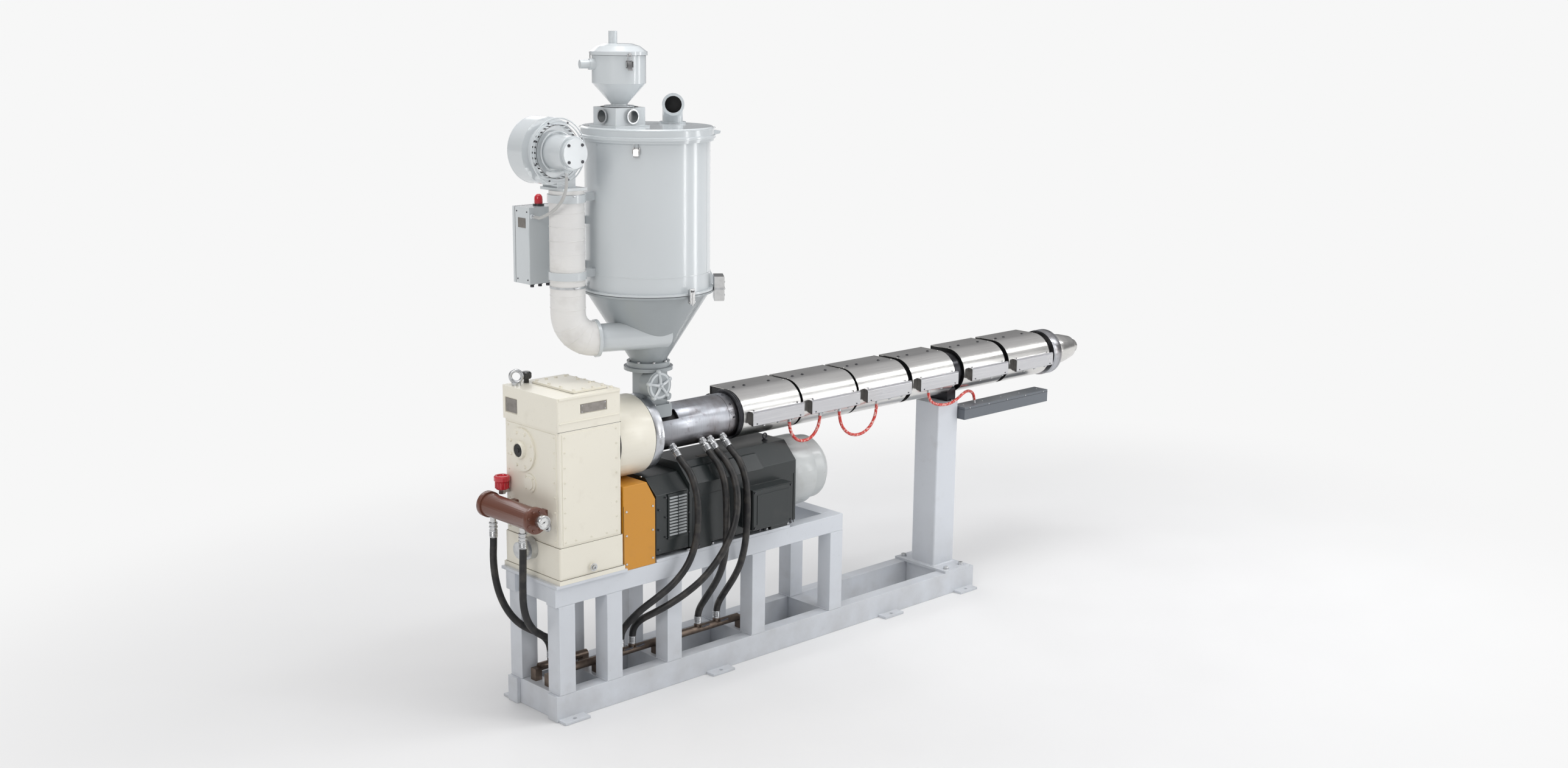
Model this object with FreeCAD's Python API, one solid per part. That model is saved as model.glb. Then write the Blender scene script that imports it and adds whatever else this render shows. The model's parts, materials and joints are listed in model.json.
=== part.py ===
import FreeCAD
import Part
import math
import os

from FreeCAD import Vector

# Single screw plastic extruder with a hopper dryer, in millimetres.
# The screw axis runs along +X at BARREL_Z above the floor and the dryer stands over x = 0.
# -Y is the operator's side. The origin is on the floor, under the dryer, on the screw's plane.

# ---- driving dimensions ----
FIT = 0.3                       # room left round a curved face that another piece fits
BARREL_Z = 1390.0               # height of the screw axis

# bed: two rails on the floor, posts, and two beams under the gearbox and the motor
BED_WIDTH = 432.0
BED_X0 = -790.0
BED_PAST_COLUMN = 60.0
RAIL_WIDTH = 80.0
RAIL_HEIGHT = 140.0
POST_SIZE = 100.0
POST_CENTRES = [-718.0, -410.0, 0.0, 620.0, 1240.0]
BEAM_DROP = 670.0               # top of the upper beams below the screw axis
BEAM_HEIGHT = 100.0
PLATE = 16.0                    # machined plates on the upper beams
FOOT_PLATE = 14.0
FOOT_LENGTH = 160.0
FOOT_REACH = 60.0
ANCHOR_HOLE_R = 11.0
FOOT_CENTRES = [-700.0, 310.0, 1700.0, 2395.0]

# gearbox
GEARBOX_X0 = -756.0
GEARBOX_X1 = -360.0
GEARBOX_Y0 = -216.0
GEARBOX_Y1 = 244.0
GEARBOX_FLANGE = 24.0
GEARBOX_BASE = 191.0
GEARBOX_SPLIT_RISE = 140.0      # joint of the top case above the screw axis
GEARBOX_TOP_RISE = 313.0
GEARBOX_LIP = 12.0              # how far the base flange stands out
EDGE_R = 10.0
NAMEPLATE_LENGTH = 170.0
NAMEPLATE_HEIGHT = 52.0
NAMEPLATE_DEPTH = 5.0
COVER_PLATE = 12.0
REAR_BOSS_Y = 85.0
REAR_BOSS_R = 112.0

# thrust housing, feed section, barrel and its heaters
DRUM_R = 215.0
DRUM_X1 = -115.0
FLANGE_STEP = 8.0               # how much the flange ring is smaller than the drum
FLANGE_X1 = -60.0
FEED_R = 125.0
FEED_X1 = 533.0
POCKET_X0 = -52.0
POCKET_X1 = 122.0
POCKET_DEPTH = 22.0
POCKET_WIDTH = 62.0
POCKET_ANGLE = 46.0
CLAMP_R = 139.0
CLAMP_WIDTH = 32.0
BARREL_R = 120.0
SHROUD_R = 138.0
SHROUD_DEPTH = 152.0            # flat far side of a shroud, from the screw axis
SHROUD_DROP = 118.0             # lower edge of a shroud below the screw axis
ZONE_LENGTHS = [440.0, 440.0, 430.0, 390.0, 398.0, 420.0]
ZONE_GAPS = [5.0, 20.0, 20.0, 40.0, 90.0, 42.0]
SUPPORT_GAP = 4                 # the barrel is carried in the gap before this zone, from 0
COVER_REACH = 172.0             # front face of the terminal covers, from the screw axis
COVER_DROP = 50.0
COVER_HEIGHT = 82.0
COVER_INSET = 38.0
FAN_R = 84.0
FAN_WIDTH = 74.0
FAN_SPACING = 176.0
FAN_DROP = 16.0
END_RING_GAP = 40.0
END_RING_WIDTH = 80.0
END_RING_R = 148.0
END_BOLT_R = 12.0
NOSE_R = 104.0
NOSE_TIP_R = 46.0
NOSE_LENGTH = 302.0
OUTLET_R = 25.0
OUTLET_DEPTH = 60.0

# barrel support and cable tray
COLUMN_WIDTH = 190.0
COLUMN_BEFORE_GAP = 145.0       # the column stands mostly before the middle of the gap
COLUMN_DROP = 178.0
SADDLE_LENGTH = 78.0
SADDLE_WIDTH = 150.0
SADDLE_WRAP = 40.0              # top of the saddle below the screw axis
TRAY_LENGTH = 840.0
TRAY_Y0 = -150.0
TRAY_Y1 = -40.0
TRAY_HEIGHT = 80.0

# drive
GUARD_X1 = -132.0
GUARD_DROP = 213.0
GUARD_CHAMFER_X = 60.0
GUARD_CHAMFER_Z = 105.0
MOTOR_X0 = -124.0
MOTOR_SPLIT = 104.0
MOTOR_X1 = 900.0
MOTOR_HALF = 216.0
MOTOR_DROP = 178.0              # top of the motor below the screw axis
MOTOR_SHOULDER = 100.0          # height of the sloping sides
MOTOR_TOP_HALF = 118.0
COVER_UNDER_DRUM = 7.0          # room between the motor's front cover and the thrust housing
COVER_SHOULDER = 82.0
MOTOR_FEET = 24.0
COVER_STEP = 6.0                # how much the motor's front cover is smaller
GRILLE_LENGTH = 126.0
GRILLE_HEIGHT = 222.0
PANEL_X0 = 150.0
PANEL_X1 = 640.0
PANEL_THICK = 14.0
PANEL_HEIGHT = 70.0
TERMINAL_X0 = 490.0             # terminal box on the operator's side of the motor
TERMINAL_LENGTH = 300.0
TERMINAL_HEIGHT = 230.0
TERMINAL_REACH = 84.0
TERMINAL_RISE = 54.0
END_BELL_R = 206.0
END_BELL_LENGTH = 180.0
COWL_LENGTH = 160.0

# feed throat
THROAT_BACK = 58.0              # the throat's flat rear side stands clear of the thrust flange
THROAT_HALF = 96.0
THROAT_BASE_RISE = 150.0
NECK_HALF = 78.0
THROAT_RISE = 354.0             # top of the throat flange above the screw axis
THROAT_FLANGE_R = 131.0
THROAT_FLANGE = 18.0
PORT_X = -41.0
PORT_RISE = 270.0
PORT_R = 68.0
PORT_ROOT = 50.0                # the port starts this far out, clear of the thrust flange
PORT_REACH = 132.0
PORT_LID = 16.0

# hopper dryer
SHEET = 12.0                    # lined sheet of the cone
DRYER_R = 328.0
DRYER_WALL = 30.0
DRYER_HEIGHT = 790.0
CONE_FOOT = 27.0
CONE_R = 92.0
CONE_HEIGHT = 389.0
RIM = 12.0
RIM_LIP = 18.0                  # how far the rims and the lid stand out of the body
LID_LIP = 25.0
LID_HEIGHT = 60.0
CLAMP_ANGLES = [-91.0, 29.0, 149.0]
HINGE_ANGLE = -38.0
LUG_ANGLE = -14.0
EXHAUST_X = 222.0
EXHAUST_Y = 60.0
EXHAUST_R = 58.0
EXHAUST_WALL = 14.0
EXHAUST_REACH = 112.0
EXHAUST_DEPTH = 60.0
EXHAUST_RISE = 104.0
EXHAUST_BEND = 70.0

# vacuum receiver on the lid
RECEIVER_X = -184.0
RECEIVER_FOOT = 96.0            # half width of the square discharge box
RECEIVER_FOOT_HEIGHT = 100.0
RECEIVER_NECK_R = 43.0
RECEIVER_R = 137.0
RECEIVER_CONE = 120.0
RECEIVER_BODY = 140.0
RECEIVER_DOME = 57.0
SPIGOT_R = 22.0
SPIGOT_LENGTH = 62.0
SPIGOT_GRIP = 50.0              # the part of the side spigot that takes a hose
SPIGOT_COLLAR = 6.0

# hot air blower, its lagged pipe and the control box
PIPE_GAP = 74.0                 # between the pipe and the dryer
PIPE_Y = 43.0
PIPE_R = 90.0
PIPE_BEND = 140.0
BLOWER_BACK = 101.0             # blower axis behind the pipe axis
BLOWER_Y = 104.0
BLOWER_DROP = 48.0              # blower axis below the lid joint
BLOWER_R = 168.0
BLOWER_WIDTH = 120.0
BLOWER_MOTOR_R = 72.0
BLOWER_MOTOR_LENGTH = 216.0
SPOUT_DROP = 200.0              # pipe flange below the blower axis
SPOUT_HALF = 58.0
DUCT_R = 74.0
DUCT_RISE = 161.0               # duct axis above the foot of the cone
DUCT_AIM = 19.0                 # degrees between the duct and the screw axis
BOX_LENGTH = 240.0
BOX_DEPTH = 144.0
BOX_HEIGHT = 395.0
BOX_X0 = -590.0
BOX_Y0 = 236.0
BOX_RISE = 45.0
BRACKET_HEIGHT = 40.0
CONDUIT_R = 8.0
GLAND_R = 12.0
GLAND_LENGTH = 14.0

# oil cooler, pump and filler on the rear of the gearbox
COOLER_GAP = 48.0
COOLER_DROP = 300.0
COOLER_R = 68.0
COOLER_END = 30.0
COOLER_Y0 = -182.0
COOLER_Y1 = 250.0
GAUGE_R = 36.0
PUMP_R = 44.0
PUMP_Y = 20.0
PUMP_RISE = 148.0
PUMP_LENGTH = 84.0
ELBOW_R = 16.0
ELBOW_Y = [-60.0, 200.0]
FILLER_Y = 215.0
FILLER_DROP = 196.0

# cooling water
NIPPLE_X = [83.0, 295.0, 350.0, 443.0]
NIPPLE_TILT = 42.0              # degrees below level
NIPPLE_R = 13.0
NIPPLE_LENGTH = 40.0
NUT_R = 19.0
HOSE_R = 19.0
MANIFOLD_Y = 60.0
MANIFOLD_Z = 205.0
MANIFOLD_R = 22.0
MANIFOLD_X0 = -700.0
MANIFOLD_X1 = 600.0
RISER_TOP = 240.0
FRONT_RISERS = [-632.0, -250.0, -170.0, 300.0, 440.0]
BACK_RISERS = [-624.0]
LEAD_R = 9.0

# ---- sizes that follow ----
BED_HALF = BED_WIDTH / 2
BEAM_TOP = BARREL_Z - BEAM_DROP
BEAM_Z = BEAM_TOP - BEAM_HEIGHT
BEAM_X1 = POST_CENTRES[-1] + POST_SIZE / 2
PLATE_TOP = BEAM_TOP + PLATE
GEARBOX_SPLIT = BARREL_Z + GEARBOX_SPLIT_RISE
GEARBOX_TOP = BARREL_Z + GEARBOX_TOP_RISE
GEARBOX_BASE_TOP = PLATE_TOP + GEARBOX_BASE
CLAMP_X1 = FEED_X1 + CLAMP_WIDTH


def zone_ends():
    ends = []
    x = CLAMP_X1
    for gap, length in zip(ZONE_GAPS, ZONE_LENGTHS):
        ends.append((x + gap, x + gap + length))
        x += gap + length
    return ends


ZONES = zone_ends()
END_RING_X0 = ZONES[-1][1] + END_RING_GAP
END_RING_X1 = END_RING_X0 + END_RING_WIDTH
NOSE_X1 = END_RING_X1 + NOSE_LENGTH
SADDLE_X = (ZONES[SUPPORT_GAP - 1][1] + ZONES[SUPPORT_GAP][0]) / 2
COLUMN_X0 = SADDLE_X - COLUMN_BEFORE_GAP
COLUMN_X1 = COLUMN_X0 + COLUMN_WIDTH
COLUMN_TOP = BARREL_Z - COLUMN_DROP
BED_X1 = COLUMN_X1 + BED_PAST_COLUMN
FLANGE_R = DRUM_R - FLANGE_STEP
MOTOR_TOP = BARREL_Z - MOTOR_DROP
MOTOR_FLANK = MOTOR_TOP - MOTOR_SHOULDER
THROAT_TOP = BARREL_Z + THROAT_RISE
CONE_Z0 = THROAT_TOP + CONE_FOOT
DRYER_Z0 = CONE_Z0 + CONE_HEIGHT
DRYER_Z1 = DRYER_Z0 + DRYER_HEIGHT
LID_TOP = DRYER_Z1 + LID_HEIGHT
RIM_R = DRYER_R + RIM_LIP
LID_R = DRYER_R + LID_LIP
PIPE_X = -DRYER_R - PIPE_GAP - PIPE_R
BLOWER_X = PIPE_X - BLOWER_BACK
BLOWER_Z = DRYER_Z1 - BLOWER_DROP
SPOUT_Z = BLOWER_Z - SPOUT_DROP
DUCT_Z = CONE_Z0 + DUCT_RISE
COOLER_X = GEARBOX_X0 - COOLER_GAP - COOLER_R
COOLER_Z = BARREL_Z - COOLER_DROP

# ---- routes of the hoses and leads, chosen by hand ----
WATER_HOSES = [
    [(83, -122.7, 1279.5), (83, -167.2, 1239.5), (88, -244, 1186), (94, -288, 1085), (96, -300, 950),
     (80, -300, 810), (32, -290, 690), (-52, -270, 600), (-132, -230, 532), (-192, -172, 466),
     (-228, -118, 398), (-244, -80, 345), (-250, -60, 296), (-250, -60, 240)],
    [(295, -122.7, 1279.5), (295, -167.2, 1239.5), (298, -244, 1186), (301, -288, 1085), (300, -297, 950),
     (304, -294, 815), (308, -280, 700), (308, -252, 600), (306, -206, 515), (304, -156, 445),
     (302, -112, 385), (300, -78, 336), (300, -60, 290), (300, -60, 240)],
    [(350, -122.7, 1279.5), (350, -167.2, 1239.5), (354, -250, 1190), (350, -320, 1092), (331, -354, 965),
     (284, -362, 838), (208, -354, 718), (108, -332, 612), (10, -298, 540), (-76, -250, 480),
     (-128, -192, 434), (-156, -132, 394), (-168, -84, 349), (-170, -60, 296), (-170, -60, 240)],
    [(443, -122.7, 1279.5), (443, -167.2, 1239.5), (447, -244, 1186), (452, -288, 1085), (455, -297, 950),
     (453, -294, 815), (450, -280, 700), (446, -252, 600), (443, -206, 515), (441, -156, 445),
     (440, -112, 385), (440, -78, 336), (440, -60, 290), (440, -60, 240)],
]
COOLER_HOSES = [
    [(-872, -60, 961.9), (-872, -60, 900), (-878, -64, 815), (-884, -68, 720), (-884, -68, 620),
     (-862, -66, 535), (-818, -62, 468), (-760, -60, 425), (-702, -60, 392), (-656, -60, 348),
     (-632, -60, 296), (-632, -60, 240)],
    [(-872, 200, 961.9), (-872, 200, 900), (-882, 194, 815), (-889, 172, 720), (-886, 138, 625),
     (-862, 102, 540), (-816, 76, 472), (-758, 64, 428), (-700, 60, 394), (-650, 60, 350),
     (-624, 60, 296), (-624, 60, 240)],
]
HEATER_LEADS = [
    [(905, -150, 1340), (905, -150, 1300), (922, -152, 1245), (968, -154, 1200), (1035, -153, 1188),
     (1095, -151, 1206), (1136, -150, 1250), (1151, -150, 1300), (1151, -150, 1340)],
    [(1310, -150, 1340), (1310, -150, 1292), (1330, -153, 1225), (1385, -156, 1172), (1462, -156, 1152),
     (1540, -154, 1166), (1602, -151, 1214), (1628, -150, 1285), (1628, -150, 1340)],
    [(2090, -150, 1340), (2090, -150, 1304), (2108, -152, 1264), (2156, -156, 1236), (2228, -158, 1222),
     (2308, -152, 1222), (2388, -136, 1238), (2462, -114, 1256), (2526, -98, 1262), (2572, -95, 1246),
     (2596, -95, 1210), (2596, -95, 1172)],
]

BLOWER_CONDUIT = [
    (-593, -96, 2801.9), (-593, -96, 2756), (-597, -90, 2704), (-605, -66, 2656), (-612, -20, 2616),
    (-614, 34, 2588), (-611, 88, 2568), (-600, 132, 2558), (-579, 166, 2555), (-570, 194, 2555),
    (-570, 221.9, 2555)]


# ---- plain shapes ----
def box(x0, x1, y0, y1, z0, z1):
    return Part.makeBox(x1 - x0, y1 - y0, z1 - z0, Vector(x0, y0, z0))


def rod(start, end, radius):
    """A round bar from one point to another."""
    along = end - start
    return Part.makeCylinder(radius, along.Length, start, along)


def rod_x(x0, x1, radius, y=0.0, z=BARREL_Z):
    return rod(Vector(x0, y, z), Vector(x1, y, z), radius)


def rod_y(y0, y1, radius, x, z):
    return rod(Vector(x, y0, z), Vector(x, y1, z), radius)


def rod_z(z0, z1, radius, x=0.0, y=0.0):
    return rod(Vector(x, y, z0), Vector(x, y, z1), radius)


def turned_z(outline, x=0.0, y=0.0):
    """A solid of revolution about a vertical axis; outline is radius and height."""
    wire = Part.makePolygon([Vector(r, 0, z) for r, z in outline + outline[:1]])
    solid = Part.Face(wire).revolve(Vector(0, 0, 0), Vector(0, 0, 1), 360)
    solid.translate(Vector(x, y, 0))
    return solid


def turned_x(outline):
    """A solid of revolution about the screw axis; outline is place along x and radius."""
    wire = Part.makePolygon([Vector(x, 0, r) for x, r in outline + outline[:1]])
    solid = Part.Face(wire).revolve(Vector(0, 0, 0), Vector(1, 0, 0), 360)
    solid.translate(Vector(0, 0, BARREL_Z))
    return solid


def prism_x(outline, x0, x1):
    """A bar along x whose section is given as y and z."""
    wire = Part.makePolygon([Vector(x0, y, z) for y, z in outline + outline[:1]])
    return Part.Face(wire).extrude(Vector(x1 - x0, 0, 0))


def prism_y(outline, y0, y1):
    """A bar along y whose section is given as x and z."""
    wire = Part.makePolygon([Vector(x, y0, z) for x, z in outline + outline[:1]])
    return Part.Face(wire).extrude(Vector(0, y1 - y0, 0))


def fuse(first, *others):
    return first.multiFuse(list(others)).removeSplitter()


def cut(first, *others):
    result = first
    for other in others:
        result = result.cut(other)
    return result


def round_upright_edges(solid, radius):
    edges = [e for e in solid.Edges
             if abs(e.Vertexes[0].X - e.Vertexes[-1].X) < 0.01
             and abs(e.Vertexes[0].Y - e.Vertexes[-1].Y) < 0.01
             and abs(e.Vertexes[0].Z - e.Vertexes[-1].Z) > 1]
    return solid.makeFillet(radius, edges)


def on_side(solid, side):
    """The solid itself, or its mirror image on the operator's side."""
    return solid if side > 0 else solid.mirror(Vector(0, 0, 0), Vector(0, 1, 0))


def turned_about_z(solid, degrees):
    turned = solid.copy()
    turned.rotate(Vector(0, 0, 0), Vector(0, 0, 1), degrees)
    return turned


def save(name, *solids):
    """Write one node; pieces of one node are solids that stay apart."""
    whole = solids[0] if len(solids) == 1 else Part.makeCompound(list(solids))
    whole.exportStep("parts/" + name + ".step")


def tube_path(points):
    """Straight runs joined by the largest tangent arcs that the runs allow."""
    corners = [Vector(*p) for p in points]
    edges = []
    radii = []
    start = corners[0]
    for before, corner, after in zip(corners, corners[1:], corners[2:]):
        back = (before - corner).normalize()
        ahead = (after - corner).normalize()
        turn = math.pi - back.getAngle(ahead)
        reach = 0.45 * min((before - corner).Length, (after - corner).Length)
        radius = reach / math.tan(turn / 2)
        radii.append(radius)
        arc_start = corner + back * reach
        arc_end = corner + ahead * reach
        inward = (back + ahead).normalize()
        centre_distance = math.hypot(radius, reach)
        middle = corner + inward * (centre_distance - radius)
        edges.append(Part.LineSegment(start, arc_start).toShape())
        edges.append(Part.Arc(arc_start, middle, arc_end).toShape())
        start = arc_end
    edges.append(Part.LineSegment(start, corners[-1]).toShape())
    return Part.Wire(edges), radii


def hose(points, radius):
    """A round hose of the given radius along a route."""
    wire, radii = tube_path(points)
    first = Vector(*points[0])
    along = Vector(*points[1]) - first
    section = Part.Wire(Part.makeCircle(radius, first, along))
    solid = wire.makePipeShell([section], True, True, 1)
    print("hose length %.0f, radii %s, volume ratio %.4f" % (
        wire.Length, [round(r) for r in radii],
        solid.Volume / (math.pi * radius ** 2 * wire.Length)))
    return solid


# ---- machine bed ----
def bed():
    inside = BED_HALF - RAIL_WIDTH
    rails = []
    for side in (-1, 1):
        rail = box(BED_X0, BED_X1, inside, BED_HALF, 0, RAIL_HEIGHT)
        feet = []
        for x in FOOT_CENTRES:
            foot = box(x - FOOT_LENGTH / 2, x + FOOT_LENGTH / 2, BED_HALF - 1, BED_HALF + FOOT_REACH,
                       0, FOOT_PLATE)
            feet.append(foot.cut(rod_z(-1, FOOT_PLATE + 1, ANCHOR_HOLE_R, x, BED_HALF + FOOT_REACH / 2)))
        rails.append(on_side(fuse(rail, *feet), side))
    save("frame_side_rails", *rails)

    half = POST_SIZE / 2
    ties = [box(x - half, x + half, -inside, inside, 0, RAIL_HEIGHT) for x in POST_CENTRES]
    ties.append(box(COLUMN_X0, COLUMN_X1, -inside, inside, 0, RAIL_HEIGHT))
    ties += [box(x - half, x + half, -inside, inside, BEAM_Z, BEAM_TOP) for x in POST_CENTRES]
    save("frame_cross_members", *ties)

    posts = []
    for x in POST_CENTRES:
        post = box(x - half, x + half, BED_HALF - POST_SIZE, BED_HALF, RAIL_HEIGHT, BEAM_Z)
        posts += [on_side(post, -1), post]
    save("frame_posts", *posts)

    beam = box(BED_X0, BEAM_X1, inside, BED_HALF, BEAM_Z, BEAM_TOP)
    save("frame_upper_beams", on_side(beam, -1), beam)
    gearbox_seat = box(BED_X0, GEARBOX_X1 + 30, GEARBOX_Y0 - GEARBOX_LIP, GEARBOX_Y1 + GEARBOX_LIP,
                       BEAM_TOP, PLATE_TOP)
    motor_seat = box(MOTOR_X0, MOTOR_X1 - 40, -BED_HALF, BED_HALF, BEAM_TOP, PLATE_TOP)
    save("machined_seat_plates", gearbox_seat, motor_seat)


# ---- gearbox ----
def gearbox():
    lip = GEARBOX_LIP
    flange_top = PLATE_TOP + GEARBOX_FLANGE
    flange = box(GEARBOX_X0 - lip, GEARBOX_X1 + lip, GEARBOX_Y0 - lip, GEARBOX_Y1 + lip,
                 PLATE_TOP, flange_top)
    lower = box(GEARBOX_X0 - lip / 2, GEARBOX_X1 + lip / 2, GEARBOX_Y0 - lip / 2,
                GEARBOX_Y1 + lip / 2, flange_top, GEARBOX_BASE_TOP)
    drain = rod_y(GEARBOX_Y0 - lip / 2 - 12, GEARBOX_Y0, 15, GEARBOX_X0 + 196, PLATE_TOP + 60)
    save("gearbox_base", fuse(flange, round_upright_edges(lower, EDGE_R), drain))

    housing = box(GEARBOX_X0, GEARBOX_X1, GEARBOX_Y0, GEARBOX_Y1, GEARBOX_BASE_TOP, GEARBOX_SPLIT)
    save("gearbox_housing", round_upright_edges(housing, EDGE_R))

    top = box(GEARBOX_X0 - lip / 2, GEARBOX_X1, GEARBOX_Y0, GEARBOX_Y1 + lip, GEARBOX_SPLIT, GEARBOX_TOP)
    plate_z = GEARBOX_TOP - 97
    front_x = GEARBOX_X1 - 88 - NAMEPLATE_LENGTH
    front = box(front_x, front_x + NAMEPLATE_LENGTH, GEARBOX_Y0 - 1, GEARBOX_Y0 + NAMEPLATE_DEPTH,
                plate_z, plate_z + NAMEPLATE_HEIGHT)
    rear = box(GEARBOX_X0 - lip, GEARBOX_X0 - lip / 2 + NAMEPLATE_DEPTH, GEARBOX_Y1 - 120,
               GEARBOX_Y1 - 14, GEARBOX_TOP - 139, GEARBOX_TOP - 57)
    save("gearbox_top_case", cut(round_upright_edges(top, EDGE_R), front, rear))

    cover = box(GEARBOX_X0 + 130, GEARBOX_X1 - 46, GEARBOX_Y0 + 50, GEARBOX_Y1 - 60,
                GEARBOX_TOP, GEARBOX_TOP + COVER_PLATE)
    save("gearbox_inspection_cover", round_upright_edges(cover, EDGE_R))

    eye_x = GEARBOX_X0 + 38
    eye_y = GEARBOX_Y1 - 54
    collar = rod_z(GEARBOX_TOP, GEARBOX_TOP + 16, 24, eye_x, eye_y)
    ring = Part.makeTorus(30, 9, Vector(eye_x, eye_y, GEARBOX_TOP + 46), Vector(0.8, 1, 0))
    save("lifting_eye", fuse(collar, ring))

    main_boss = fuse(rod_x(GEARBOX_X0 - 16, GEARBOX_X0, REAR_BOSS_R, REAR_BOSS_Y),
                     rod_x(GEARBOX_X0 - 34, GEARBOX_X0 - 16, 46, REAR_BOSS_Y))
    middle_z = BARREL_Z - 165
    middle_cap = fuse(rod_x(GEARBOX_X0 - 10, GEARBOX_X0, 50, REAR_BOSS_Y - 60, middle_z),
                      rod_x(GEARBOX_X0 - 16, GEARBOX_X0 - 10, 34, REAR_BOSS_Y - 60, middle_z))
    save("gearbox_bearing_caps", main_boss, middle_cap)


def gearbox_caps():
    """The black breather on the top case and the red cap on the filler pipe."""
    breather_x = GEARBOX_X0 + 116
    breather_y = GEARBOX_Y1 - 32
    breather = fuse(rod_z(GEARBOX_TOP, GEARBOX_TOP + 22, 14, breather_x, breather_y),
                    rod_z(GEARBOX_TOP + 22, GEARBOX_TOP + 58, 26, breather_x, breather_y))
    filler_x = GEARBOX_X0 - 46
    filler_z = BARREL_Z - FILLER_DROP
    cap = fuse(rod_z(filler_z - 32, filler_z + 12, 34, filler_x, FILLER_Y),
               rod_z(filler_z + 12, filler_z + 40, 42, filler_x, FILLER_Y))
    save("oil_caps", breather, cap)
    stem = rod_z(filler_z - 56, filler_z - 32, 18, filler_x, FILLER_Y)
    arm = rod_x(filler_x, GEARBOX_X0, 11, FILLER_Y, filler_z - 44)
    return fuse(stem, arm)


# ---- thrust housing, feed section and barrel ----
def extruder_body():
    save("thrust_housing", turned_x([(GEARBOX_X1, 0), (GEARBOX_X1, DRUM_R), (DRUM_X1 - 12, DRUM_R),
                                     (DRUM_X1, DRUM_R - 12), (DRUM_X1, 0)]))
    save("thrust_flange_ring", rod_x(DRUM_X1, FLANGE_X1, FLANGE_R))

    feed = rod_x(FLANGE_X1, FEED_X1, FEED_R)
    pocket = box(POCKET_X0, POCKET_X1, -POCKET_WIDTH / 2, POCKET_WIDTH / 2,
                 FEED_R - POCKET_DEPTH, FEED_R + 10)
    pocket.rotate(Vector(0, 0, 0), Vector(1, 0, 0), POCKET_ANGLE)
    pocket.translate(Vector(0, 0, BARREL_Z))
    save("feed_section", feed.cut(pocket))
    save("barrel", turned_x([(FEED_X1, 0), (FEED_X1, CLAMP_R), (CLAMP_X1, CLAMP_R),
                             (CLAMP_X1, BARREL_R), (END_RING_X0, BARREL_R), (END_RING_X0, 0)]))

    bolts = []
    circle_r = END_RING_R - 26
    for index in range(10):
        angle = math.radians(36 * index + 18)
        bolts.append(rod_x(END_RING_X1 - 1, END_RING_X1 + 14, END_BOLT_R,
                           circle_r * math.sin(angle), BARREL_Z + circle_r * math.cos(angle)))
    save("barrel_end_ring", fuse(rod_x(END_RING_X0, END_RING_X1, END_RING_R), *bolts))
    neck_x = END_RING_X1 + NOSE_LENGTH / 2
    dome = turned_x([(END_RING_X1, 0), (END_RING_X1, NOSE_R), (neck_x - 60, NOSE_R),
                     (neck_x, NOSE_R - 8), (NOSE_X1 - 60, NOSE_TIP_R + 30),
                     (NOSE_X1 - 22, NOSE_TIP_R + 4), (NOSE_X1 - 14, NOSE_TIP_R),
                     (NOSE_X1, NOSE_TIP_R), (NOSE_X1, 0)])
    save("outlet_adapter", dome.cut(rod_x(NOSE_X1 - OUTLET_DEPTH, NOSE_X1 + 1, OUTLET_R)))


def heater_zones():
    bore = rod_x(CLAMP_X1, END_RING_X0, BARREL_R + FIT)
    shrouds = []
    covers = []
    fans = []
    for x0, x1 in ZONES:
        far_side = box(x0, x1, 0, SHROUD_DEPTH, BARREL_Z - SHROUD_DROP, BARREL_Z + SHROUD_R)
        shrouds.append(fuse(rod_x(x0, x1, SHROUD_R), far_side).cut(bore))
        cover = box(x0 + COVER_INSET, x1 - 6, -COVER_REACH, -BARREL_R / 2,
                    BARREL_Z - COVER_DROP, BARREL_Z - COVER_DROP + COVER_HEIGHT)
        covers.append(cover.cut(rod_x(x0, x1, SHROUD_R + FIT)))
        middle = (x0 + x1) / 2
        fans.append(cooling_fan(middle - FAN_SPACING / 2))
        fans.append(cooling_fan(middle + FAN_SPACING / 2))
    save("heater_shrouds", *shrouds)
    save("heater_terminal_covers", *covers)
    save("cooling_fans", *fans)


def cooling_fan(x):
    """A centrifugal fan with its outlet on the flat far side of a shroud."""
    y = SHROUD_DEPTH + FAN_R + 14
    z = BARREL_Z - FAN_DROP
    x0 = x - FAN_WIDTH / 2
    x1 = x + FAN_WIDTH / 2
    scroll = rod_x(x0, x1, FAN_R, y, z)
    outlet = box(x0, x1, SHROUD_DEPTH, y, z + 8, z + FAN_R)
    flange = box(x0 - 8, x1 + 8, SHROUD_DEPTH, SHROUD_DEPTH + 8, z, z + FAN_R + 10)
    motor = rod_x(x1, x1 + 42, 34, y, z)
    inlet = rod_x(x0 - 6, x0, 56, y, z)
    return fuse(scroll, outlet, flange, motor, inlet)


def barrel_support():
    half = COLUMN_WIDTH / 2
    base = box(COLUMN_X0 - 20, COLUMN_X1 + 20, -BED_HALF, BED_HALF, RAIL_HEIGHT, RAIL_HEIGHT + PLATE)
    shaft = box(COLUMN_X0, COLUMN_X1, -half, half, RAIL_HEIGHT + PLATE, COLUMN_TOP)
    save("support_column", fuse(base, round_upright_edges(shaft, EDGE_R)))
    x0 = SADDLE_X - SADDLE_LENGTH / 2
    x1 = SADDLE_X + SADDLE_LENGTH / 2
    block = box(x0, x1, -SADDLE_WIDTH / 2, SADDLE_WIDTH / 2, COLUMN_TOP, BARREL_Z - SADDLE_WRAP)
    save("support_saddle", block.cut(rod_x(x0 - 1, x1 + 1, BARREL_R + FIT)))
    tray_z = COLUMN_TOP - TRAY_HEIGHT - 40
    save("cable_tray", box(COLUMN_X1, COLUMN_X1 + TRAY_LENGTH, TRAY_Y0, TRAY_Y1, tray_z,
                           tray_z + TRAY_HEIGHT))


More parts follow.
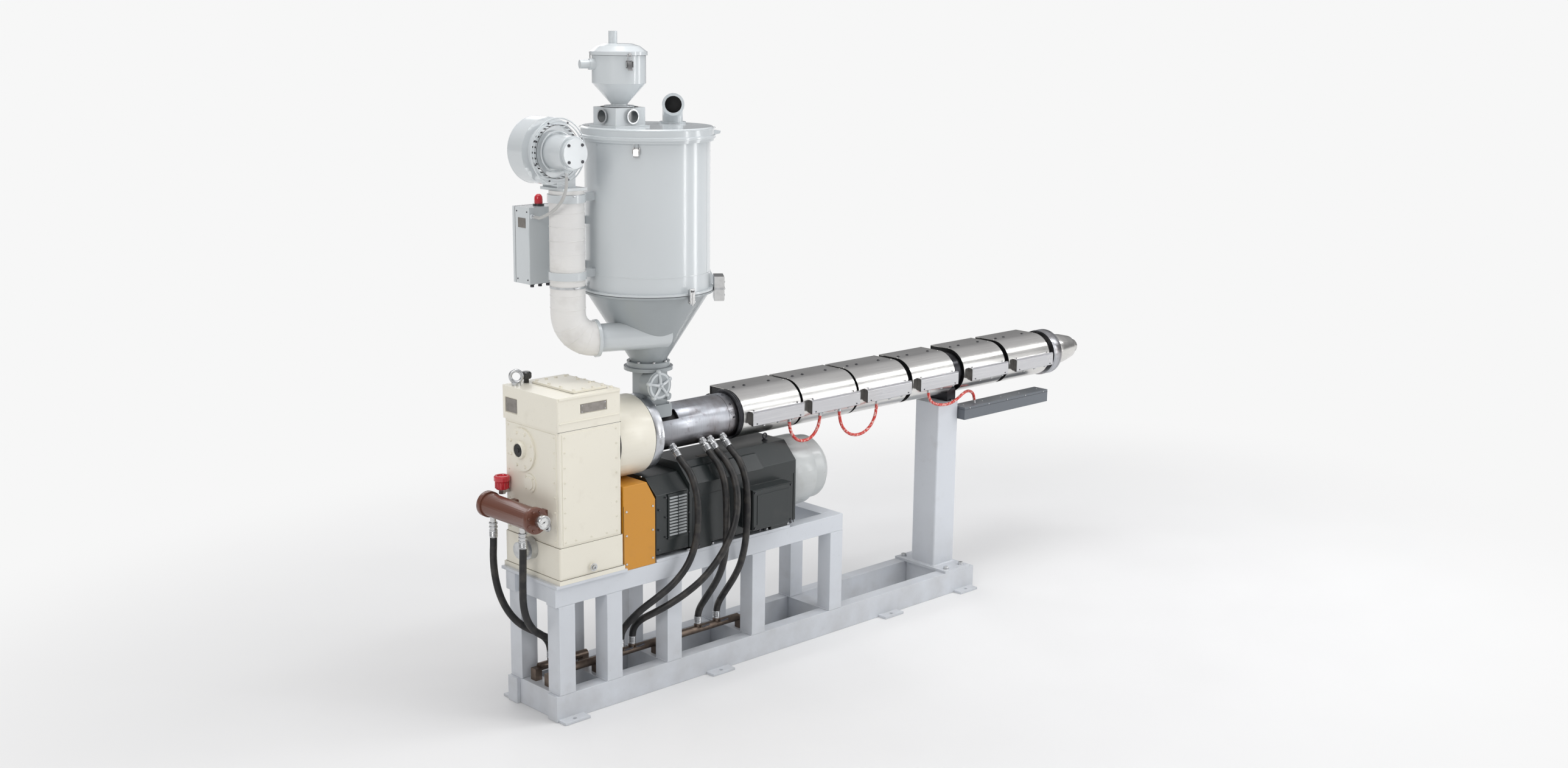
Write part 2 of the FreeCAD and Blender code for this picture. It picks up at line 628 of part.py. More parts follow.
# ---- drive ----
def coupling_guard():
    x0 = GEARBOX_X1 + GEARBOX_LIP
    top = BARREL_Z - GUARD_DROP
    outline = [(x0, BEAM_TOP), (GUARD_X1, BEAM_TOP), (GUARD_X1, top - GUARD_CHAMFER_Z),
               (GUARD_X1 - GUARD_CHAMFER_X, top), (x0, top)]
    guard = prism_y(outline, -MOTOR_HALF, MOTOR_HALF)
    seat = box(GEARBOX_X1, GEARBOX_X1 + 30, -MOTOR_HALF - 1, MOTOR_HALF + 1, BEAM_TOP - 1, PLATE_TOP)
    drum = rod_x(GEARBOX_X1 - 1, DRUM_X1 + 1, DRUM_R + FIT)
    save("coupling_guard", cut(guard, seat, drum))


def motor_section(half, top, shoulder):
    flank = top - shoulder
    return [(-half, PLATE_TOP + MOTOR_FEET), (half, PLATE_TOP + MOTOR_FEET), (half, flank),
            (MOTOR_TOP_HALF, top), (-MOTOR_TOP_HALF, top), (-half, flank)]


def motor():
    cover_top = BARREL_Z - DRUM_R - COVER_UNDER_DRUM
    front = prism_x(motor_section(MOTOR_HALF - COVER_STEP, cover_top, COVER_SHOULDER), MOTOR_X0, MOTOR_SPLIT)
    grille_z = PLATE_TOP + 110
    grille = box(MOTOR_SPLIT - 18 - GRILLE_LENGTH, MOTOR_SPLIT - 18, -MOTOR_HALF,
                 -MOTOR_HALF + COVER_STEP, grille_z, grille_z + GRILLE_HEIGHT)
    save("motor_front_cover", fuse(front, grille))

    feet = []
    for x in (MOTOR_SPLIT + 30, MOTOR_X1 - 190):
        for y0 in (-MOTOR_HALF, MOTOR_HALF - 90):
            feet.append(box(x, x + 130, y0, y0 + 90, PLATE_TOP, PLATE_TOP + MOTOR_FEET))
    slope = (MOTOR_HALF - MOTOR_TOP_HALF) / MOTOR_SHOULDER
    panel_high = MOTOR_FLANK + PANEL_HEIGHT
    panel_y = -MOTOR_HALF + PANEL_HEIGHT * slope
    panel = prism_x([(-MOTOR_HALF - PANEL_THICK, MOTOR_FLANK - 4), (-MOTOR_HALF, MOTOR_FLANK - 4),
                     (-MOTOR_HALF, MOTOR_FLANK), (panel_y, panel_high),
                     (panel_y - PANEL_THICK, panel_high)], PANEL_X0, PANEL_X1)
    body = prism_x(motor_section(MOTOR_HALF, MOTOR_TOP, MOTOR_SHOULDER), MOTOR_SPLIT, MOTOR_X1)
    terminal_z = PLATE_TOP + TERMINAL_RISE
    terminals = box(TERMINAL_X0, TERMINAL_X0 + TERMINAL_LENGTH, -MOTOR_HALF - TERMINAL_REACH, -MOTOR_HALF + 1,
                    terminal_z, terminal_z + TERMINAL_HEIGHT)
    save("motor_body", fuse(body, panel, terminals, *feet))

    axis_drop = BARREL_Z - (PLATE_TOP + MOTOR_FEET + MOTOR_TOP) / 2
    bell_x1 = MOTOR_X1 + END_BELL_LENGTH
    cowl_x1 = bell_x1 + COWL_LENGTH
    cowl = turned_x([(MOTOR_X1, 0), (MOTOR_X1, END_BELL_R), (bell_x1, END_BELL_R), (bell_x1, END_BELL_R - 16),
                     (cowl_x1 - 60, END_BELL_R - 20), (cowl_x1 - 18, END_BELL_R - 56),
                     (cowl_x1, END_BELL_R - 116), (cowl_x1, 0)])
    cowl.translate(Vector(0, 0, -axis_drop))
    save("motor_end_cowl", cowl)


# ---- material side ----
def throat():
    base_top = BARREL_Z + THROAT_BASE_RISE
    base = box(-THROAT_BACK, THROAT_HALF, -THROAT_HALF, THROAT_HALF, BARREL_Z + 60, base_top)
    base = round_upright_edges(base, 24).cut(rod_x(-200, 200, FEED_R + FIT))
    flange_z = THROAT_TOP - THROAT_FLANGE
    neck = box(-THROAT_BACK, NECK_HALF, -NECK_HALF, NECK_HALF, base_top - 1, flange_z + 1)
    port_z = BARREL_Z + PORT_RISE
    port = rod_y(-PORT_REACH, -PORT_ROOT, PORT_R, PORT_X, port_z)
    lid = rod_y(-PORT_REACH - PORT_LID, -PORT_REACH, PORT_R + 6, PORT_X, port_z)
    drain = rod(Vector(20, -NECK_HALF + 10, base_top + 55), Vector(38, -PORT_REACH + 4, base_top + 48), 20)
    flange = rod_z(flange_z, THROAT_TOP, THROAT_FLANGE_R)
    save("throat", fuse(base, round_upright_edges(neck, 22), port, lid, drain, flange))


def dryer():
    inner = DRYER_R - DRYER_WALL
    rim_z = DRYER_Z0 - RIM
    foot_r = THROAT_FLANGE_R - 16
    save("dryer_cone", turned_z([
        (CONE_R - SHEET, THROAT_TOP), (foot_r, THROAT_TOP), (foot_r, CONE_Z0), (CONE_R, CONE_Z0),
        (DRYER_R, rim_z), (RIM_R, rim_z), (RIM_R, DRYER_Z0), (inner, DRYER_Z0), (inner, rim_z),
        (DRYER_R - 2 * SHEET, rim_z - 14), (CONE_R - SHEET, CONE_Z0)]))
    body = turned_z([(inner, DRYER_Z0), (RIM_R, DRYER_Z0), (RIM_R, DRYER_Z0 + RIM),
                     (DRYER_R, DRYER_Z0 + RIM), (DRYER_R, DRYER_Z1 - RIM), (RIM_R, DRYER_Z1 - RIM),
                     (RIM_R, DRYER_Z1), (inner, DRYER_Z1)])
    save("dryer_body", fuse(body, lug(DRYER_Z0, 100)))
    lid = turned_z([(0, DRYER_Z1), (LID_R, DRYER_Z1), (LID_R, DRYER_Z1 + 16), (LID_R - 8, DRYER_Z1 + 20),
                    (LID_R - 8, LID_TOP - 6), (LID_R - 16, LID_TOP), (0, LID_TOP)])
    save("dryer_lid", fuse(lid, lug(DRYER_Z1, 20)))

    clamps = []
    for angle in CLAMP_ANGLES:
        clamp = box(RIM_R + FIT, RIM_R + 22, -14, 14, DRYER_Z0 - 34, DRYER_Z0 + 34)
        clamps.append(turned_about_z(clamp, angle))
    hinge = box(RIM_R + FIT, RIM_R + 52, -58, 58, DRYER_Z0 - 62, DRYER_Z0 + 66)
    clamps.append(turned_about_z(hinge, HINGE_ANGLE))
    save("dryer_joint_clamps", *clamps)


def lug(z, height):
    """A flared sheet lug that stands out of a rim."""
    x0 = DRYER_R - 2
    reach = RIM_R + 62
    outline = [(x0, z), (RIM_R, z), (reach, z + 12), (reach + 2, z + 26), (RIM_R + 30, z + 30),
               (RIM_R + 4, z + 30 + height / 2), (x0 + 4, z + 30 + height), (x0, z + 30 + height)]
    return turned_about_z(prism_y(outline, -36, 36), LUG_ANGLE)


def receiver():
    foot = RECEIVER_FOOT
    foot_top = LID_TOP + RECEIVER_FOOT_HEIGHT
    x = RECEIVER_X
    flange = box(x - foot - 14, x + foot + 14, -foot - 14, foot + 14, LID_TOP, LID_TOP + 10)
    body = round_upright_edges(box(x - foot, x + foot, -foot, foot, LID_TOP + 9, foot_top), 8)
    save("receiver_discharge_box", fuse(flange, body))

    z0 = foot_top + RECEIVER_CONE
    z1 = z0 + RECEIVER_BODY
    plate_r = RECEIVER_NECK_R + 34
    body = turned_z([(0, foot_top), (plate_r, foot_top), (plate_r, foot_top + 8),
                     (RECEIVER_NECK_R, foot_top + 8), (RECEIVER_NECK_R, foot_top + 16),
                     (RECEIVER_R, z0), (RECEIVER_R, z1), (0, z1)], x)
    inlet_z = z1 - 46
    root = Vector(x - RECEIVER_R + 20, 30, inlet_z)
    tip = Vector(x - RECEIVER_R - 66, 60, inlet_z)
    stop = tip + (root - tip).normalize() * SPIGOT_GRIP
    save("receiver_body", fuse(body, rod(root, tip, SPIGOT_R), rod(root, stop, SPIGOT_R + SPIGOT_COLLAR)))

    top = z1 + RECEIVER_DOME
    lid = turned_z([(0, z1), (RECEIVER_R + 8, z1), (RECEIVER_R + 8, z1 + 18), (RECEIVER_R, z1 + 22),
                    (RECEIVER_R - 30, top - 12), (RECEIVER_R - 70, top), (0, top)], x)
    spigot = rod_z(top - 10, top + SPIGOT_LENGTH, SPIGOT_R, x - 30, 10)
    save("receiver_lid", fuse(lid, spigot))


def exhaust():
    """The moist air elbow on the lid, turned towards the rear of the operator's side."""
    aim = Vector(-0.62, -0.78, 0).normalize()
    start = Vector(EXHAUST_X, EXHAUST_Y, LID_TOP)
    corner = start + Vector(0, 0, EXHAUST_RISE)
    below = corner - Vector(0, 0, EXHAUST_BEND)
    beside = corner + aim * EXHAUST_BEND
    middle = below + (beside - below) * 0.5 + (corner - (below + beside) * 0.5) * (math.sqrt(2) - 1)
    mouth = corner + aim * EXHAUST_REACH
    path = Part.Wire([Part.LineSegment(start, below).toShape(), Part.Arc(below, middle, beside).toShape(),
                      Part.LineSegment(beside, mouth).toShape()])
    section = Part.Wire(Part.makeCircle(EXHAUST_R - 4, start, Vector(0, 0, 1)))
    pipe = path.makePipeShell([section], True, True, 1)
    rim = rod(mouth - aim * 14, mouth, EXHAUST_R)
    foot = rod_z(LID_TOP, LID_TOP + 10, EXHAUST_R + 12, EXHAUST_X, EXHAUST_Y)
    hollow = rod(mouth - aim * EXHAUST_DEPTH, mouth + aim, EXHAUST_R - EXHAUST_WALL)
    save("exhaust_elbow", fuse(pipe, rim, foot).cut(hollow))


# ---- hot air side ----
def blower():
    y0 = BLOWER_Y - BLOWER_WIDTH / 2
    y1 = BLOWER_Y + BLOWER_WIDTH / 2
    scroll = rod_y(y0, y1, BLOWER_R, BLOWER_X, BLOWER_Z)
    spout = box(PIPE_X - SPOUT_HALF, PIPE_X + SPOUT_HALF, y0, y1, SPOUT_Z + 10, BLOWER_Z)
    flange = box(PIPE_X - 74, PIPE_X + 74, PIPE_Y - 74, y1, SPOUT_Z, SPOUT_Z + 14)
    save("blower_scroll", fuse(scroll, spout, flange))
    end_y = y0 - BLOWER_MOTOR_LENGTH
    hub = rod_y(y0 - 46, y0, BLOWER_R - 36, BLOWER_X, BLOWER_Z)
    case = rod_y(end_y + 22, y0 - 46, BLOWER_MOTOR_R + 14, BLOWER_X, BLOWER_Z)
    end = rod_y(end_y, end_y + 22, BLOWER_MOTOR_R, BLOWER_X, BLOWER_Z)
    under = BLOWER_Z - BLOWER_MOTOR_R - GLAND_LENGTH
    gland = rod_z(under - GLAND_LENGTH, BLOWER_Z, GLAND_R, BLOWER_X, BLOWER_CONDUIT[0][1])
    save("blower_motor", fuse(hub, case, end, gland))
    save("blower_conduit", hose(BLOWER_CONDUIT, CONDUIT_R))


def hot_air_pipe():
    """The lagged heater pipe under the blower and its bend towards the cone."""
    turn = math.radians(DUCT_AIM)
    aim = Vector(math.cos(turn), -math.sin(turn), 0)
    top = Vector(PIPE_X, PIPE_Y, SPOUT_Z)
    bend_top = Vector(PIPE_X, PIPE_Y, DUCT_Z + PIPE_BEND)
    bend_end = Vector(PIPE_X, PIPE_Y, DUCT_Z) + aim * PIPE_BEND
    centre = bend_top + aim * PIPE_BEND
    middle = centre + (aim * -1 - Vector(0, 0, 1)).normalize() * PIPE_BEND
    path = Part.Wire([Part.LineSegment(top, bend_top).toShape(),
                      Part.Arc(bend_top, middle, bend_end).toShape()])
    section = Part.Wire(Part.makeCircle(PIPE_R, top, Vector(0, 0, 1)))
    save("insulated_pipe", path.makePipeShell([section], True, True, 1))

    ring = rod(bend_end, bend_end + aim * 16, PIPE_R + 8)
    duct = rod(bend_end + aim * 8, bend_end + aim * (-PIPE_X), DUCT_R)
    cone = turned_z([(0, CONE_Z0 - 1), (CONE_R + FIT, CONE_Z0 - 1), (CONE_R + FIT, CONE_Z0),
                     (DRYER_R + FIT, DRYER_Z0 - RIM), (0, DRYER_Z0 - RIM)])
    near_side = box(PIPE_X, 0, -DRYER_R, DRYER_R, CONE_Z0 - 1, DRYER_Z0)
    save("hot_air_duct", fuse(ring, duct).common(near_side).cut(cone))


def control_box():
    x1 = BOX_X0 + BOX_LENGTH
    z0 = DRYER_Z0 + BOX_RISE
    z1 = z0 + BOX_HEIGHT
    case = box(BOX_X0, x1, BOX_Y0, BOX_Y0 + BOX_DEPTH, z0, z1)
    gland_x, _, gland_z = BLOWER_CONDUIT[-1]
    gland = rod_y(BOX_Y0 - GLAND_LENGTH, BOX_Y0 + 1, GLAND_R, gland_x, gland_z)
    save("dryer_control_box", fuse(round_upright_edges(case, 6), gland))
    lamp_x = BOX_X0 + 110
    lamp_y = BOX_Y0 + 64
    save("alarm_lamp", fuse(rod_z(z1, z1 + 14, 30, lamp_x, lamp_y),
                            rod_z(z1 + 14, z1 + 62, 25, lamp_x, lamp_y)))

    brackets = []
    for z in (z0 + 60, z1 - 100):
        arm = box(x1 - 60, -DRYER_R / 2, BOX_Y0 - 36, BOX_Y0, z, z + BRACKET_HEIGHT)
        brackets.append(arm.cut(rod_z(z - 1, z + BRACKET_HEIGHT + 1, DRYER_R + FIT)))
    for z in (SPOUT_Z - 60, DRYER_Z0 + 90):
        band = rod_z(z, z + BRACKET_HEIGHT, PIPE_R + 8, PIPE_X, PIPE_Y)
        arm = box(PIPE_X, -DRYER_R + 30, PIPE_Y - 20, PIPE_Y + 20, z, z + BRACKET_HEIGHT)
        bores = [rod_z(z - 1, z + BRACKET_HEIGHT + 1, PIPE_R + FIT, PIPE_X, PIPE_Y),
                 rod_z(z - 1, z + BRACKET_HEIGHT + 1, DRYER_R + FIT)]
        brackets.append(cut(fuse(band, arm), *bores))
    save("dryer_side_brackets", *brackets)


# ---- oil and water ----
def oil_cooling():
    shell_r = COOLER_R - 8
    shell = rod_y(COOLER_Y0, COOLER_Y1, shell_r, COOLER_X, COOLER_Z)
    ends = [rod_y(COOLER_Y0, COOLER_Y0 + COOLER_END, COOLER_R, COOLER_X, COOLER_Z),
            rod_y(COOLER_Y1 - COOLER_END, COOLER_Y1, COOLER_R, COOLER_X, COOLER_Z)]
    feet = [box(COOLER_X, GEARBOX_X0, y - 20, y + 20, COOLER_Z - 24, COOLER_Z + 24) for y in (-100, 150)]
    save("oil_cooler", fuse(shell, *ends, *feet))
    gauge_x = COOLER_X + 6
    gauge_z = COOLER_Z + 4
    save("pressure_gauge", fuse(rod_y(COOLER_Y0 - 30, COOLER_Y0, 12, gauge_x, gauge_z),
                                rod_y(COOLER_Y0 - 54, COOLER_Y0 - 26, GAUGE_R, gauge_x, gauge_z)))
    under = COOLER_Z - shell_r - FIT
    fittings = [fuse(rod_z(under - 46, under, ELBOW_R, COOLER_X, y),
                     rod_z(under - 67.7, under - 40, NUT_R, COOLER_X, y)) for y in ELBOW_Y]
    fittings.append(gearbox_caps())
    save("oil_pipe_fittings", *fittings)

    pump_x = GEARBOX_X0 - GEARBOX_LIP / 2
    pump_z = PLATE_TOP + PUMP_RISE
    save("oil_pump", fuse(rod_x(pump_x - 40, pump_x, PUMP_R + 14, PUMP_Y, pump_z),
                          rod_x(pump_x - PUMP_LENGTH, pump_x - 40, PUMP_R, PUMP_Y, pump_z)))


def nipple(x):
    """A hose nipple on the lower front of the feed section, pointing out and down."""
    tilt = math.radians(NIPPLE_TILT)
    out = Vector(0, -math.cos(tilt), -math.sin(tilt))
    axis = Vector(x, 0, BARREL_Z)
    stem = rod(axis + out * (FEED_R - 5), axis + out * (FEED_R + NIPPLE_LENGTH), NIPPLE_R)
    nut = rod(axis + out * (FEED_R + 12), axis + out * (FEED_R + 28), NUT_R)
    return fuse(stem, nut).cut(rod_x(x - 60, x + 60, FEED_R))


def manifold(y, risers):
    """A water pipe along the bed with a riser for each hose, on blocks on the cross members."""
    x0 = MANIFOLD_X0
    x1 = MANIFOLD_X1 if len(risers) > 1 else POST_CENTRES[1] + 20
    pipe = rod_x(x0, x1, MANIFOLD_R, y, MANIFOLD_Z)
    stems = [rod_z(MANIFOLD_Z, RISER_TOP, NIPPLE_R, x, y) for x in risers]
    nuts = [rod_z(RISER_TOP - 18, RISER_TOP, NUT_R, x, y) for x in risers]
    blocks = [box(x - 20, x + 20, y - MANIFOLD_R, y + MANIFOLD_R, RAIL_HEIGHT, MANIFOLD_Z)
              for x in POST_CENTRES if x0 - 20 <= x <= x1 + 20]
    return fuse(pipe, *stems, *nuts, *blocks)


def water_cooling():
    save("feed_water_nipples", *[nipple(x) for x in NIPPLE_X])
    save("water_manifolds", manifold(-MANIFOLD_Y, FRONT_RISERS), manifold(MANIFOLD_Y, BACK_RISERS))
    for number, route in enumerate(WATER_HOSES, 1):
        save("water_hose_%d" % number, hose(route, HOSE_R))
    for number, route in enumerate(COOLER_HOSES, 1):
        save("cooler_hose_%d" % number, hose(route, HOSE_R))


def heater_leads():
    for number, route in enumerate(HEATER_LEADS, 1):
        save("heater_lead_%d" % number, hose(route, LEAD_R))


os.makedirs("parts", exist_ok=True)
bed()
gearbox()
extruder_body()
heater_zones()
barrel_support()
coupling_guard()
motor()
throat()
dryer()
receiver()
exhaust()
blower()
hot_air_pipe()
control_box()
oil_cooling()
water_cooling()
heater_leads()
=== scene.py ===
import json
import math
import random
from itertools import product

import bmesh
import bpy
from mathutils import Matrix, Quaternion, Vector


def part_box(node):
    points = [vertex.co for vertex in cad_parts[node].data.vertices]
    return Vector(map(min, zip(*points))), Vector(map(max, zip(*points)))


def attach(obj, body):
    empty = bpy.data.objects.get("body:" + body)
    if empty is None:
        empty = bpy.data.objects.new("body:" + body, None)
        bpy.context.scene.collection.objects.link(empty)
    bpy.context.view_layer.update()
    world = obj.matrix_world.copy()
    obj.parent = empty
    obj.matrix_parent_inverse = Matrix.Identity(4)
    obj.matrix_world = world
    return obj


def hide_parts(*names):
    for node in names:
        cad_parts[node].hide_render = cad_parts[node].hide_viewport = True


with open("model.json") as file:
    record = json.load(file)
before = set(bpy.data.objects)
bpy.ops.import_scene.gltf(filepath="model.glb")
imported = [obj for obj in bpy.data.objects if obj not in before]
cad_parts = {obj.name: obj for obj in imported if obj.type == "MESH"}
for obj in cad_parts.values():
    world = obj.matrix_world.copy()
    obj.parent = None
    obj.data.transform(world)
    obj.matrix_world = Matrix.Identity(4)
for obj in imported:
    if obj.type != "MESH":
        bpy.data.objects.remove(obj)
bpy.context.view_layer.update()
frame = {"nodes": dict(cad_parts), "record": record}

# Looks of a single screw plastic extruder with a hopper dryer, in metres.
# The screw axis runs along +X, -Y is the operator's side, and every place comes from the CAD nodes' boxes.

TAU = 2 * math.pi
SMOOTH_ANGLE = math.radians(32)
FILM = 0.0008                       # how far a dark patch of painted shade that stands for an opening lies on its wall
X = Vector((1, 0, 0))
Y = Vector((0, 1, 0))
Z = Vector((0, 0, 1))

# ---- camera ----
CAMERA_AT = Vector((-5.785, -7.056, 3.600))
CAMERA_AIM = Vector((1.005, 0.0, 1.500))
CAMERA_ROLL = math.radians(0.72)
CAMERA_LENS = 40.0
BACKDROP = (0.93, 0.93, 0.93)

# ---- hoses, heater leads and conduit: the routes of the CAD model ----
HOSE_DIAMETER = 0.038
LEAD_DIAMETER = 0.018
CONDUIT_DIAMETER = 0.016
WATER_HOSES = [
    [(0.083, -0.1227, 1.2795), (0.083, -0.1672, 1.2395), (0.088, -0.244, 1.186), (0.094, -0.288, 1.085),
     (0.096, -0.3, 0.95), (0.08, -0.3, 0.81), (0.032, -0.29, 0.69), (-0.052, -0.27, 0.6),
     (-0.132, -0.23, 0.532), (-0.192, -0.172, 0.466), (-0.228, -0.118, 0.398), (-0.244, -0.08, 0.345),
     (-0.25, -0.06, 0.296), (-0.25, -0.06, 0.24)],
    [(0.295, -0.1227, 1.2795), (0.295, -0.1672, 1.2395), (0.298, -0.244, 1.186), (0.301, -0.288, 1.085),
     (0.3, -0.297, 0.95), (0.304, -0.294, 0.815), (0.308, -0.28, 0.7), (0.308, -0.252, 0.6),
     (0.306, -0.206, 0.515), (0.304, -0.156, 0.445), (0.302, -0.112, 0.385), (0.3, -0.078, 0.336),
     (0.3, -0.06, 0.29), (0.3, -0.06, 0.24)],
    [(0.35, -0.1227, 1.2795), (0.35, -0.1672, 1.2395), (0.354, -0.25, 1.19), (0.35, -0.32, 1.092),
     (0.331, -0.354, 0.965), (0.284, -0.362, 0.838), (0.208, -0.354, 0.718), (0.108, -0.332, 0.612),
     (0.01, -0.298, 0.54), (-0.076, -0.25, 0.48), (-0.128, -0.192, 0.434), (-0.156, -0.132, 0.394),
     (-0.168, -0.084, 0.349), (-0.17, -0.06, 0.296), (-0.17, -0.06, 0.24)],
    [(0.443, -0.1227, 1.2795), (0.443, -0.1672, 1.2395), (0.447, -0.244, 1.186), (0.452, -0.288, 1.085),
     (0.455, -0.297, 0.95), (0.453, -0.294, 0.815), (0.45, -0.28, 0.7), (0.446, -0.252, 0.6),
     (0.443, -0.206, 0.515), (0.441, -0.156, 0.445), (0.44, -0.112, 0.385), (0.44, -0.078, 0.336),
     (0.44, -0.06, 0.29), (0.44, -0.06, 0.24)],
]
COOLER_HOSES = [
    [(-0.872, -0.06, 0.9619), (-0.872, -0.06, 0.9), (-0.878, -0.064, 0.815), (-0.884, -0.068, 0.72),
     (-0.884, -0.068, 0.62), (-0.862, -0.066, 0.535), (-0.818, -0.062, 0.468), (-0.76, -0.06, 0.425),
     (-0.702, -0.06, 0.392), (-0.656, -0.06, 0.348), (-0.632, -0.06, 0.296), (-0.632, -0.06, 0.24)],
    [(-0.872, 0.2, 0.9619), (-0.872, 0.2, 0.9), (-0.882, 0.194, 0.815), (-0.889, 0.172, 0.72),
     (-0.886, 0.138, 0.625), (-0.862, 0.102, 0.54), (-0.816, 0.076, 0.472), (-0.758, 0.064, 0.428),
     (-0.7, 0.06, 0.394), (-0.65, 0.06, 0.35), (-0.624, 0.06, 0.296), (-0.624, 0.06, 0.24)],
]
HEATER_LEADS = [
    [(0.905, -0.15, 1.34), (0.905, -0.15, 1.3), (0.922, -0.152, 1.245), (0.968, -0.154, 1.2),
     (1.035, -0.153, 1.188), (1.095, -0.151, 1.206), (1.136, -0.15, 1.25), (1.151, -0.15, 1.3),
     (1.151, -0.15, 1.34)],
    [(1.31, -0.15, 1.34), (1.31, -0.15, 1.292), (1.33, -0.153, 1.225), (1.385, -0.156, 1.172),
     (1.462, -0.156, 1.152), (1.54, -0.154, 1.166), (1.602, -0.151, 1.214), (1.628, -0.15, 1.285),
     (1.628, -0.15, 1.34)],
    [(2.09, -0.15, 1.34), (2.09, -0.15, 1.304), (2.108, -0.152, 1.264), (2.156, -0.156, 1.236),
     (2.228, -0.158, 1.222), (2.308, -0.152, 1.222), (2.388, -0.136, 1.238), (2.462, -0.114, 1.256),
     (2.526, -0.098, 1.262), (2.572, -0.095, 1.246), (2.596, -0.095, 1.21), (2.596, -0.095, 1.172)],
]
BLOWER_CONDUIT = [
    (-0.593, -0.096, 2.8019), (-0.593, -0.096, 2.756), (-0.597, -0.09, 2.704), (-0.605, -0.066, 2.656),
    (-0.612, -0.02, 2.616), (-0.614, 0.034, 2.588), (-0.611, 0.088, 2.568), (-0.6, 0.132, 2.558),
    (-0.579, 0.166, 2.555), (-0.57, 0.194, 2.555), (-0.57, 0.2219, 2.555),
]


class Room:
    """The corners of a CAD node."""

    def __init__(self, node):
        low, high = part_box(node)
        self.x0, self.y0, self.z0 = low
        self.x1, self.y1, self.z1 = high
        self.x, self.y, self.z = (low + high) / 2


# ---- materials ----
MATERIALS = {}


def add_node(tree, kind, feeds, **settings):
    """A shader node. feeds gives its inputs, by name or number, a value or another node's output."""
    node = tree.nodes.new("ShaderNode" + kind)
    for name, value in settings.items():
        setattr(node, name, value)
    for key, value in feeds.items():
        if isinstance(value, bpy.types.NodeSocket):
            tree.links.new(value, node.inputs[key])
        else:
            node.inputs[key].default_value = value
    return node


class Finish:
    """A principled shader fed by noise in the part's own space."""

    def __init__(self, name, colour, metallic=0.0, coat=0.0):
        self.name = name
        self.material = bpy.data.materials.new(name)
        self.material.use_nodes = True
        self.tree = self.material.node_tree
        self.shader = self.tree.nodes["Principled BSDF"]
        self.shader.inputs["Metallic"].default_value = metallic
        self.shader.inputs["Coat Weight"].default_value = coat
        self.shader.inputs["Coat Roughness"].default_value = 0.12
        self.place = self.add("TexCoord", {}).outputs["Object"]
        self.colour = (*colour, 1)

    def add(self, kind, feeds, **settings):
        return add_node(self.tree, kind, feeds, **settings)

    def feed(self, value, name):
        self.tree.links.new(value, self.shader.inputs[name])

    def noise(self, scale, low, high, stretch=(1, 1, 1), detail=3.0):
        """A mask from 0 to 1: the noise between low and high, finer along the stretched axes."""
        mapping = self.add("Mapping", {"Vector": self.place, "Scale": [scale * s for s in stretch]})
        texture = self.add("TexNoise", {"Vector": mapping.outputs["Vector"], "Scale": 1.0, "Detail": detail})
        return self.ramp(texture.outputs["Fac"], low, high)

    def ramp(self, value, low, high):
        return self.add("MapRange", {"Value": value, "From Min": low, "From Max": high}).outputs["Result"]

    def height(self, low, high):
        """A mask that grows from 0 to 1 between two heights above the floor."""
        return self.ramp(self.add("SeparateXYZ", {"Vector": self.place}).outputs["Z"], low, high)

    def times(self, first, second):
        return self.add("Math", {0: first, 1: second}, operation="MULTIPLY").outputs["Value"]

    def tint(self, mask, colour, share):
        """Mix another colour into the finish where the mask is 1, up to the share."""
        feeds = {0: self.times(mask, share), 6: self.colour, 7: (*colour, 1)}
        self.colour = self.add("Mix", feeds, data_type="RGBA").outputs[2]

    def rough(self, mask, smooth, coarse):
        value = self.add("MapRange", {"Value": mask, "To Min": smooth, "To Max": coarse})
        self.feed(value.outputs["Result"], "Roughness")

    def bump(self, height, distance, strength=1.0):
        bump = self.add("Bump", {"Height": height, "Distance": distance, "Strength": strength})
        below = self.shader.inputs["Normal"].links
        if below:
            self.tree.links.new(below[0].from_socket, bump.inputs["Normal"])
        self.feed(bump.outputs["Normal"], "Normal")

    def done(self):
        self.feed(self.colour, "Base Color")
        MATERIALS[self.name] = self.material


def shade(colour, factor):
    return tuple(c * factor for c in colour)


def painted(name, colour, grime=(0.20, 0.17, 0.13), smooth=0.28, dirt=0.35, floor_dirt=0.0, coat=0.15):
    """Sprayed enamel: an uneven tone, soft grime, fine specks and orange peel."""
    finish = Finish(name, colour, coat=coat)
    finish.tint(finish.noise(1.6, 0.35, 0.75), shade(colour, 0.92), 0.5)
    finish.tint(finish.noise(9, 0.60, 0.85, detail=6.0), grime, 0.7 * dirt)
    finish.tint(finish.noise(95, 0.67, 0.74, detail=4.0), grime, 0.6 * dirt)
    if floor_dirt:
        low = finish.times(finish.height(0.55, 0.0), finish.noise(7, 0.25, 0.75, detail=6.0))
        finish.tint(low, grime, floor_dirt)
    finish.rough(finish.noise(3, 0.2, 0.8, detail=1.0), smooth, smooth + 0.06)
    finish.bump(finish.noise(420, 0.0, 1.0, detail=1.0), 0.00012, 0.5)
    finish.done()


def turned_steel(name, colour, stain, stain_share, belly=None):
    """Steel turned on a lathe: rings across the axis, oil stains and a patchy gloss.

    belly is two heights between which burnt-on oil grows darker towards the underside.
    """
    finish = Finish(name, colour, metallic=1.0)
    rings = finish.noise(1.0, 0.3, 0.7, stretch=(520, 4, 4), detail=2.0)
    finish.tint(rings, shade(colour, 0.72), 0.45)
    finish.tint(finish.noise(6.5, 0.46, 0.72, detail=7.0), stain, stain_share)
    finish.tint(finish.noise(26, 0.60, 0.74, detail=5.0), shade(stain, 0.5), 0.5 * stain_share)
    if belly:
        under = finish.times(finish.height(*belly), finish.noise(5, 0.20, 0.60, detail=6.0))
        finish.tint(under, (0.075, 0.040, 0.028), 0.85)
    finish.rough(finish.noise(9, 0.3, 0.7, detail=5.0), 0.22, 0.46)
    finish.bump(rings, 0.00004, 0.5)
    finish.done()


